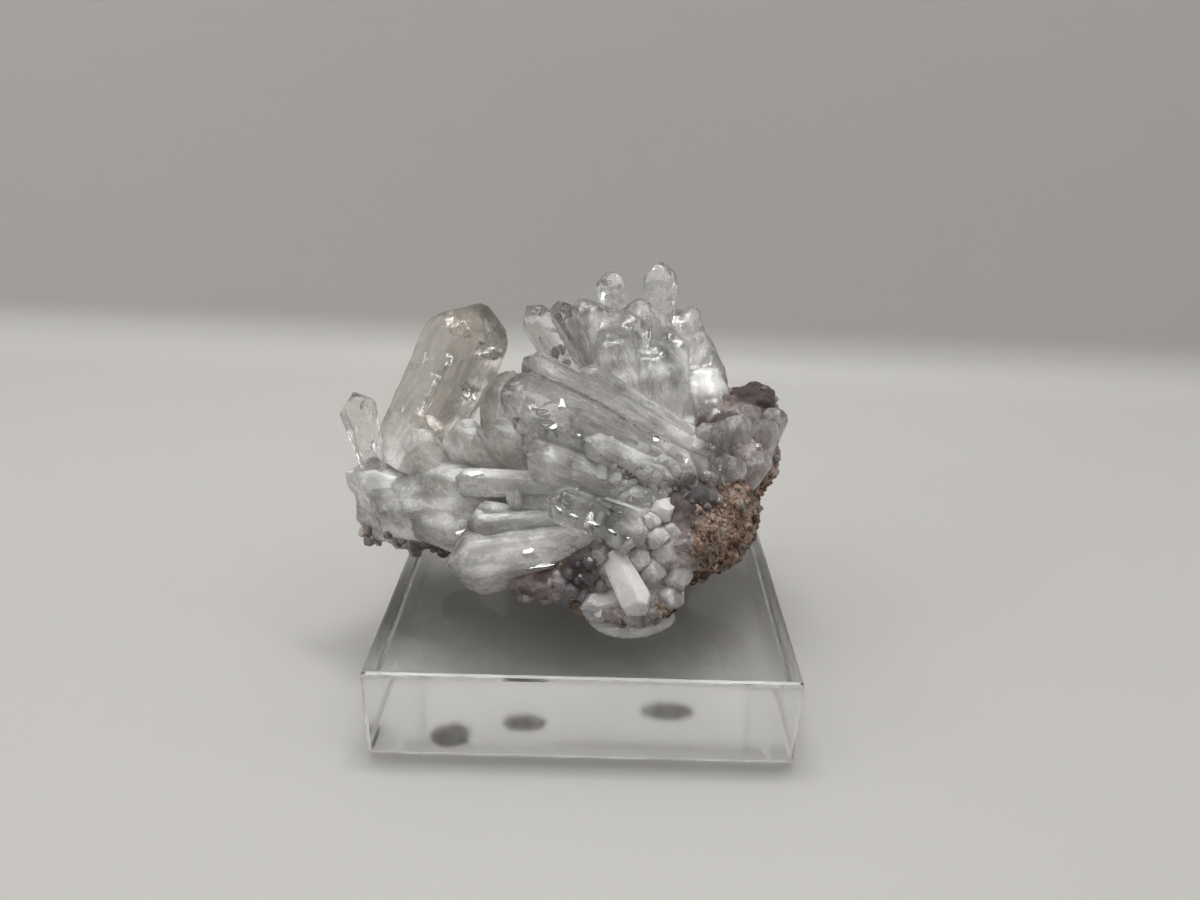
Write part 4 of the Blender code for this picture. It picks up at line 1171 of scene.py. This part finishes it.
# %% Rock zones by place
ROCK_ZONES = {
    "clay": [((15.8, -10, 21.5), 3.4), ((19.5, -6.0, 20.5), 5.0), ((14.5, -11, 16.5), 2.0), ((-1.5, -15, 14.0), 1.4),
             ((19, 6, 18), 4.0), ((22, 3, 22), 3.0), ((9, -15, 13.5), 2.0)],
    "pale": [((6, -14, 18), 6.0), ((1, -14, 17), 4.0), ((21, 3, 29), 4.5), ((14, -4, 27), 4.0), ((-24, -4, 19), 4.0),
             ((-2, -5, 25), 7.0), ((-15, 0, 20), 8.0), ((5, 12, 27), 8.0)],
    # Painted shade in the hollow, the crevices, under the left spray and between the right crystals; the knob is
    # darkened too
    "dark": [((-0.8, -14.4, 19.0), 2.4), ((12.0, -7.6, 25.4), 3.4), ((22.5, 11, 32), 4.6), ((-2, -12, 20), 3.0), ((-20, -3, 15.5), 3.0),
             ((16, 4, 31), 3.0)],
}
DRUSE_LOW = 13.6
SPRAY_CLEAR = 1.2 * MM
CRYSTAL_CLEAR = 0.7 * MM
KNOB = ((22.3, 10.5, 32.0), 5.0)

places = points_of(rock.data) / MM
patches = np.array([noise.noise(Vector(p) / 2.0) for p in places])
zone_amounts = {}
for zone, spots in ROCK_ZONES.items():
    amount = 0.35 * patches
    for centre, reach_out in spots:
        near = 1 - np.linalg.norm(places - np.array(centre), axis=1) / (1.6 * reach_out)
        amount = np.maximum(amount, near + 0.35 * patches)
    zone_amounts[zone] = np.clip(amount * 1.6, 0, 1)
    add_values(rock.data, zone, zone_amounts[zone])
spray_trees = [BVHTree.FromPolygons([v.co for v in spray.data.vertices], [p.vertices for p in spray.data.polygons])
               for spray in sprays.values()]
crystal_tree = BVHTree.FromPolygons([v.co for v in rock_crystals.data.vertices],
                                    [p.vertices for p in rock_crystals.data.polygons])
covered = np.array([any(tree.find_nearest(vert.co, SPRAY_CLEAR)[0] for tree in spray_trees)
                    or bool(crystal_tree.find_nearest(vert.co, CRYSTAL_CLEAR)[0]) for vert in rock.data.vertices])
on_knob = np.linalg.norm(places - np.array(KNOB[0]), axis=1) < KNOB[1]
standing = (places[:, 2] > DRUSE_LOW) & ~covered & ~on_knob
crusted = np.clip(1.1 - 2.5 * zone_amounts["clay"], 0, 1)
add_values(rock.data, "druse_here", np.where(standing, crusted * (zone_amounts["pale"] > 0.3), 0))
add_values(rock.data, "nodules_here", np.where(standing, 0.6 * crusted, 0))
add_values(rock.data, "crumbs_here", np.where(zone_amounts["clay"] > 0.3, 0.8, 0.0))
print("rock zones:", ", ".join(ROCK_ZONES))

# %% Rock material
ROCK_SHADES = {
    "plum": (0.33, 0.262, 0.245),
    "plum_deep": (0.14, 0.105, 0.10),
    "clay": (0.44, 0.30, 0.22),
    "clay_deep": (0.12, 0.075, 0.05),
    "pale": (0.66, 0.60, 0.59),
    # Near black, for the painted shade of the hollows and crevices and for the darkened knob
    "dark": (0.07, 0.05, 0.05),
}
material, start = new_material("rock_matrix")
place = start.make("ShaderNodeTexCoord", None, None, out=3)
fine = grain_noise(place, 2600.0, 5.0, 0.7)
middle = grain_noise(place, 700.0, 5.0, 0.65)
zones = {zone: start.make("ShaderNodeAttribute", {"attribute_name": zone}, None, out=2) for zone in ROCK_ZONES}
colour = middle.between(0.38, 0.62).blend(ROCK_SHADES["plum_deep"], ROCK_SHADES["plum"])
colour = (zones["pale"] * 1.3 * fine.between(0.3, 0.6)).clamped().blend(colour, ROCK_SHADES["pale"])
earth = fine.between(0.35, 0.62).blend(ROCK_SHADES["clay_deep"], ROCK_SHADES["clay"])
colour = zones["clay"].between(0.25, 0.5).blend(colour, earth)
# Painted shade: the shade zone takes the rock almost to black
colour = (0.96 * zones["dark"]).clamped().blend(colour, ROCK_SHADES["dark"])
sugar = grain_noise(place, 3200.0, 2.0, 0.5).between(0.55, 0.62)
surface = start.make("ShaderNodeBsdfPrincipled", None, {
    "Base Color": colour, "Roughness": 0.85 - 0.45 * sugar,
    "Normal": bumped(fine + 0.6 * middle, 0.6, 0.0003)})
finish_with(start, surface)
rock.data.materials.append(material)
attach(rock, BODY)
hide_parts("rock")
print("rock dressed")

# %% [markdown]
# ## A crust of small crystals and crumbs
# Hundreds of stubby crystals coat the rock, and earthy crumbs stick to its clay. Placing them by hand would be slow,
# and a modifier in a material would give no outline, so Geometry Nodes scatter one small shape over the rock's skin.
# A value stored on the rock says where they stand. Each one is turned, sized and toned at random from a fixed seed.

# %% Scatter tree
def scatter_tree():
    """Nodes that stand copies of a shape all over a skin, where a stored value allows it."""
    tree = bpy.data.node_groups.new("scatter", "GeometryNodeTree")
    sockets = [("Skin", "NodeSocketGeometry"), ("Shape", "NodeSocketObject"), ("Where", "NodeSocketString"),
               ("Spacing", "NodeSocketFloat"), ("Smallest", "NodeSocketFloat"), ("Largest", "NodeSocketFloat"),
               ("Lean", "NodeSocketFloat"), ("Seed", "NodeSocketInt"), ("Finish", "NodeSocketMaterial")]
    for name, kind in sockets:
        tree.interface.new_socket(name, in_out="INPUT", socket_type=kind)
    tree.interface.new_socket("Crust", in_out="OUTPUT", socket_type="NodeSocketGeometry")
    source = tree.nodes.new("NodeGroupInput").outputs
    result = tree.nodes.new("NodeGroupOutput").inputs

    def add(kind, links, **settings):
        node = tree.nodes.new(kind)
        for key, value in settings.items():
            setattr(node, key, value)
        for key, value in links.items():
            if isinstance(value, bpy.types.NodeSocket):
                tree.links.new(value, node.inputs[key])
            else:
                node.inputs[key].default_value = value
        return node

    where = add("GeometryNodeInputNamedAttribute", {"Name": source["Where"]}, data_type="FLOAT")
    points = add("GeometryNodeDistributePointsOnFaces", {
        "Mesh": source["Skin"], "Distance Min": source["Spacing"], "Density Max": DENSEST,
        "Density Factor": where.outputs["Attribute"], "Seed": source["Seed"]}, distribute_method="POISSON")
    spin = add("FunctionNodeRandomValue", {0: (-1, -1, -math.pi), 1: (1, 1, math.pi), "Seed": 1},
               data_type="FLOAT_VECTOR")
    lean = add("ShaderNodeCombineXYZ", {0: source["Lean"], 1: source["Lean"], 2: 1.0})
    leaned = add("ShaderNodeVectorMath", {0: spin.outputs[0], 1: lean.outputs[0]}, operation="MULTIPLY")
    euler = add("FunctionNodeEulerToRotation", {0: leaned.outputs[0]})
    turned = add("FunctionNodeRotateRotation", {0: points.outputs["Rotation"], 1: euler.outputs[0]},
                 rotation_space="LOCAL")
    size = add("FunctionNodeRandomValue", {2: source["Smallest"], 3: source["Largest"], "Seed": 2},
               data_type="FLOAT")
    shape = add("GeometryNodeObjectInfo", {"Object": source["Shape"]})
    copies = add("GeometryNodeInstanceOnPoints", {
        "Points": points.outputs["Points"], "Instance": shape.outputs["Geometry"],
        "Rotation": turned.outputs[0], "Scale": size.outputs[1]})
    tone = add("FunctionNodeRandomValue", {2: 0.0, 3: 1.0, "Seed": 3}, data_type="FLOAT")
    toned = add("GeometryNodeStoreNamedAttribute", {
        "Geometry": copies.outputs[0], "Name": "tone", "Value": tone.outputs[1]}, data_type="FLOAT", domain="INSTANCE")
    solid = add("GeometryNodeRealizeInstances", {0: toned.outputs[0]})
    finished = add("GeometryNodeSetMaterial", {"Geometry": solid.outputs[0], "Material": source["Finish"]})
    tree.links.new(finished.outputs[0], result["Crust"])
    return tree


DENSEST = 4.0e6
SCATTER = scatter_tree()


def scatter(name, skin, shape, where, spacing, sizes, lean, seed, finish):
    """A plain mesh of copies of a shape, scattered over a skin by the tree."""
    made = link_mesh(name, skin.data.copy())
    crust = made.modifiers.new("crust", "NODES")
    crust.node_group = SCATTER
    wanted = {"Shape": shape, "Where": where, "Spacing": spacing, "Smallest": sizes[0], "Largest": sizes[1],
              "Lean": lean, "Seed": seed, "Finish": finish}
    for item in SCATTER.interface.items_tree:
        if item.in_out == "INPUT" and item.name in wanted:
            crust[item.identifier] = wanted[item.name]
    apply_modifiers(made)
    made.data.name = name
    print(name, len(made.data.polygons), "faces")
    return made


# %% Shapes for the crust
STUB_SIDES = 6
STUB_LEVELS = ((-1.0, 0.85), (0.12, 1.0), (0.42, 0.60))


def stub_crystal():
    """A short prism with a blunt three-faced tip, one unit wide, standing through the origin."""
    points, faces = [], []
    for height, share in STUB_LEVELS:
        for side in range(STUB_SIDES):
            around = 2 * math.pi * side / STUB_SIDES
            uneven = 1 + 0.12 * (side % 2)
            points.append((0.5 * share * uneven * math.cos(around), 0.42 * share * uneven * math.sin(around),
                           height + 0.10 * (side % 2) * share))
    for row in range(len(STUB_LEVELS) - 1):
        for side in range(STUB_SIDES):
            after = (side + 1) % STUB_SIDES
            first, second = row * STUB_SIDES, (row + 1) * STUB_SIDES
            faces.append((first + side, first + after, second + after, second + side))
    last = (len(STUB_LEVELS) - 1) * STUB_SIDES
    points.append((0.03, 0.02, 0.60))
    points.append((0, 0, -1.05))
    for side in range(STUB_SIDES):
        after = (side + 1) % STUB_SIDES
        faces.append((last + side, last + after, len(points) - 2))
        faces.append((after, side, len(points) - 1))
    return mesh_object("stub", points, faces)


def crumb():
    """A rough little lump, one unit wide."""
    bm = bmesh.new()
    bmesh.ops.create_icosphere(bm, subdivisions=2, radius=0.5)
    for vert in bm.verts:
        vert.co *= 1 + 0.55 * noise.noise(vert.co * 3.1 + Vector((4, 7, 1)))
    mesh = bpy.data.meshes.new("crumb")
    bm.to_mesh(mesh)
    bm.free()
    return link_mesh("crumb", mesh)


stub = stub_crystal()
lump = crumb()

# %% Crust finishes
DRUSE_SHADES = ((0.58, 0.52, 0.53), (0.96, 0.93, 0.93))
NODULE_SHADES = ((0.24, 0.185, 0.175), (0.78, 0.71, 0.68))
CHIP_SHADES = ((0.86, 0.85, 0.84), (0.99, 0.985, 0.98))
# The grey that paints shade on small crystals in the rock's hollows and crevices
DRUSE_PAINTED_SHADE = (0.16, 0.14, 0.145)
CRUMB_GREY = (0.25, 0.225, 0.20)
CRUMB_SHADES = ((0.075, 0.048, 0.038), (0.68, 0.50, 0.385))



def druse(name, shades, clearness):
    """Small cloudy crystals, each in its own tone, darkened with painted shade where the rock's shade zone reaches."""
    finish, start = new_material(name)
    place = start.make("ShaderNodeTexCoord", None, None, out=3)
    tone = start.make("ShaderNodeAttribute", {"attribute_name": "tone"}, None, out=2)
    dark = start.make("ShaderNodeAttribute", {"attribute_name": "dark"}, None, out=2)
    cloudy = grain_noise(place, 900.0, 4.0, 0.6)
    shade = (0.7 * tone + 1.2 * cloudy - 0.45).clamped().blend(*shades)
    # Painted shade: crystals in the rock's shade zone are darkened towards a near-black grey
    surface = start.make("ShaderNodeBsdfPrincipled", None, {
        "Base Color": (0.85 * dark).clamped().blend(shade, DRUSE_PAINTED_SHADE), "Transmission Weight": clearness,
        "IOR": 1.58, "Roughness": 0.08 + 0.25 * cloudy})
    finish_with(start, surface)
    return finish


druse_finish = druse("druse", DRUSE_SHADES, 0.7)
chip_finish = druse("chips", CHIP_SHADES, 0.6)
nodule_finish = druse("nodules", NODULE_SHADES, 0.35)

crumb_finish, start = new_material("crumbs")
place = start.make("ShaderNodeTexCoord", None, None, out=3)
tone = start.make("ShaderNodeAttribute", {"attribute_name": "tone"}, None, out=2)
sandy = grain_noise(place, 4000.0, 4.0, 0.7)
earthy = grain_noise(place, 500.0, 3.0, 0.6).between(0.35, 0.65)
greyed = 0.8 * grain_noise(place, 260.0, 3.0, 0.6, 0.6).between(0.50, 0.60)
surface = start.make("ShaderNodeBsdfPrincipled", None, {
    "Base Color": greyed.blend((0.6 * tone + 0.8 * sandy + 0.9 * earthy - 0.85).clamped().blend(*CRUMB_SHADES), CRUMB_GREY), "Roughness": 0.9,
    "Normal": bumped(sandy, 0.6, 0.0001)})
finish_with(start, surface)

rock_druse = scatter("rock_druse", rock, stub, "druse_here", 1.25 * MM, (1.1 * MM, 2.6 * MM), 0.8, 5, druse_finish)
rock_nodules = scatter("rock_nodules", rock, stub, "nodules_here", 0.8 * MM, (0.6 * MM, 1.5 * MM), 0.8, 3, nodule_finish)
rock_crumbs = scatter("rock_crumbs", rock, lump, "crumbs_here", 0.5 * MM, (0.2 * MM, 0.7 * MM), 1.0, 8, crumb_finish)
rock_lumps = scatter("rock_lumps", rock, lump, "crumbs_here", 1.3 * MM, (0.5 * MM, 1.4 * MM), 1.0, 21, crumb_finish)
for piece in (rock_druse, rock_nodules, rock_crumbs, rock_lumps):
    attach(piece, BODY)
    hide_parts("rock")

# %% Chips and nodules on the sprays
CHIP_SPOTS = [((6.5, -8.8, 27.6), 3.6), ((8.8, -8.2, 25.8), 3.4), ((9.8, -5.6, 29.0), 3.4),
              ((4.4, -12.8, 23.2), 2.6), ((3.0, -8.0, 30.0), 2.0), ((11.0, -4.0, 30.0), 2.6), ((1.0, -10.5, 23.4), 2.2)]

front, left = sprays["crystal_spray_front"], sprays["crystal_spray_left"]
places = points_of(front.data) / MM
chipped = np.zeros(len(places))
for centre, reach_out in CHIP_SPOTS:
    chipped = np.maximum(chipped, 1 - np.linalg.norm(places - np.array(centre), axis=1) / reach_out)
add_values(front.data, "chips_here", np.clip(1.6 * chipped, 0, 1))
chips = scatter("front_chips", front, stub, "chips_here", 0.9 * MM, (0.6 * MM, 2.1 * MM), 1.3, 12, chip_finish)
underside = scatter("left_nodules", left, stub, "stain", 0.8 * MM, (0.6 * MM, 1.6 * MM), 0.8, 4, nodule_finish)
for piece, node in ((chips, "crystal_spray_front"), (underside, "crystal_spray_left")):
    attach(piece, BODY)
    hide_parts(node)
for shape in (stub, lump):
    bpy.data.objects.remove(shape)

# %% [markdown]
# ## The adhesive dots
# Four dots of clear adhesive were squeezed between the rock's feet and the block. Each is a low bulging disc. Where it
# wets the block, its downward faces carry patches of painted shade for the shaded rock seen through it, which show as
# dark patches inside the clear block.

# %% Adhesive dots
GLUE_DOTS = {
    "front": ((5.6, -13.2), (5.4, 4.0)),
    "left": ((-18.6, 4.0), (2.8, 4.0)),
    "middle": ((-8.5, 8.8), (3.3, 2.8)),
    "back": ((12.0, 14.0), (4.0, 3.0)),
}
GLUE_SIDES = 64
GLUE_WOBBLE = (0.65, 0.10, 0.10, 0.10, 0.10, 0.10, 0.10)
GLUE_PROFILE = ((-0.05, 0.76), (0.0, 0.97), (0.12, 1.03), (0.35, 1.06), (0.65, 1.03), (0.95, 0.93), (1.15, 0.85))


def glue_dot(name, centre, half_lengths):
    """One squeezed dot, whose foot wets the block's top by a hair."""
    points, faces = [], []
    for (rise, share), uneven in zip(GLUE_PROFILE, GLUE_WOBBLE):
        for side in range(GLUE_SIDES):
            around = 2 * math.pi * side / GLUE_SIDES
            wobble = 1 + uneven * noise.noise(Vector((1.6 * math.cos(around), 1.6 * math.sin(around), centre[0])))
            x = centre[0] + share * wobble * half_lengths[0] * math.cos(around)
            y = centre[1] + share * wobble * half_lengths[1] * math.sin(around)
            points.append((x * MM, y * MM, BLOCK_TOP + rise * MM))
    rows = len(GLUE_PROFILE)
    for row in range(rows - 1):
        for side in range(GLUE_SIDES):
            after = (side + 1) % GLUE_SIDES
            first, second = row * GLUE_SIDES, (row + 1) * GLUE_SIDES
            faces.append((first + side, first + after, second + after, second + side))
    faces.append(tuple(range(GLUE_SIDES))[::-1])
    faces.append(tuple((rows - 1) * GLUE_SIDES + side for side in range(GLUE_SIDES)))
    made = mesh_object(name, points, faces)
    made.data.shade_smooth()
    made.data.set_sharp_from_angle(angle=math.radians(50))
    return made


material, start = new_material("adhesive")
place = start.make("ShaderNodeTexCoord", None, None, out=3)
patchy = grain_noise(place, 300.0, 4.0, 0.6, 1.5)
# Painted shade: the glue's downward faces turn dark in patches, for the shaded rock seen through it
under = start.make("ShaderNodeNewGeometry", None, None, out=1)
facing_down = start.make("ShaderNodeSeparateXYZ", None, {0: under}, out=2)
stain = (facing_down * -1.0).between(0.5, 0.9) * patchy.between(0.49, 0.53)
clear_glue = start.make("ShaderNodeBsdfPrincipled", None, {
    "Base Color": (0.88, 0.875, 0.86, 1), "Transmission Weight": 0.55, "IOR": 1.47, "Roughness": 0.18 + 0.2 * patchy})
painted_shade_glue = start.make("ShaderNodeBsdfPrincipled", None, {
    "Base Color": patchy.between(0.5, 0.65).blend((0.13, 0.125, 0.135), (0.17, 0.11, 0.08)), "Roughness": 0.6})
finish_with(start, start.make("ShaderNodeMixShader", None, {0: stain, 1: clear_glue, 2: painted_shade_glue}))
for name, (centre, half_lengths) in GLUE_DOTS.items():
    dot = glue_dot("glue_" + name, centre, half_lengths)
    dot.data.materials.append(material)
    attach(dot, BODY)
    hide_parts("adhesive_dot_" + name)
print(len(GLUE_DOTS), "adhesive dots")

# %% [markdown]
# ## The display block
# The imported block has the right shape, so it stays and only gets a finish: clear acrylic with the faint haze and
# hairline marks of handling.

# %% Acrylic
material, start = new_material("clear_acrylic")
place = start.make("ShaderNodeTexCoord", None, None, out=3)
haze = grain_noise(place, 260.0, 4.0, 0.6)
hairlines = grain_noise(stretched(start, place, (900.0, 30.0, 900.0)), 1.0, 3.0, 0.6)
facing = start.make("ShaderNodeNewGeometry", None, None, out=1)
facing_up = start.make("ShaderNodeSeparateXYZ", None, {0: facing}, out=2)
side = 1.0 - start.maths("ABSOLUTE", facing_up).between(0.5, 0.9)
surface = start.make("ShaderNodeBsdfPrincipled", None, {
    "Base Color": (0.985, 0.99, 0.99, 1), "Transmission Weight": 1.0, "IOR": 1.49,
    "Roughness": 0.012 + 0.03 * haze.between(0.5, 0.75) + 0.16 * side,
    "Normal": bumped(hairlines, 0.05, 0.00005)})
finish_with(start, surface)
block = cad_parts["display_block"]
block.data.materials.clear()
block.data.materials.append(material)
print("block dressed")
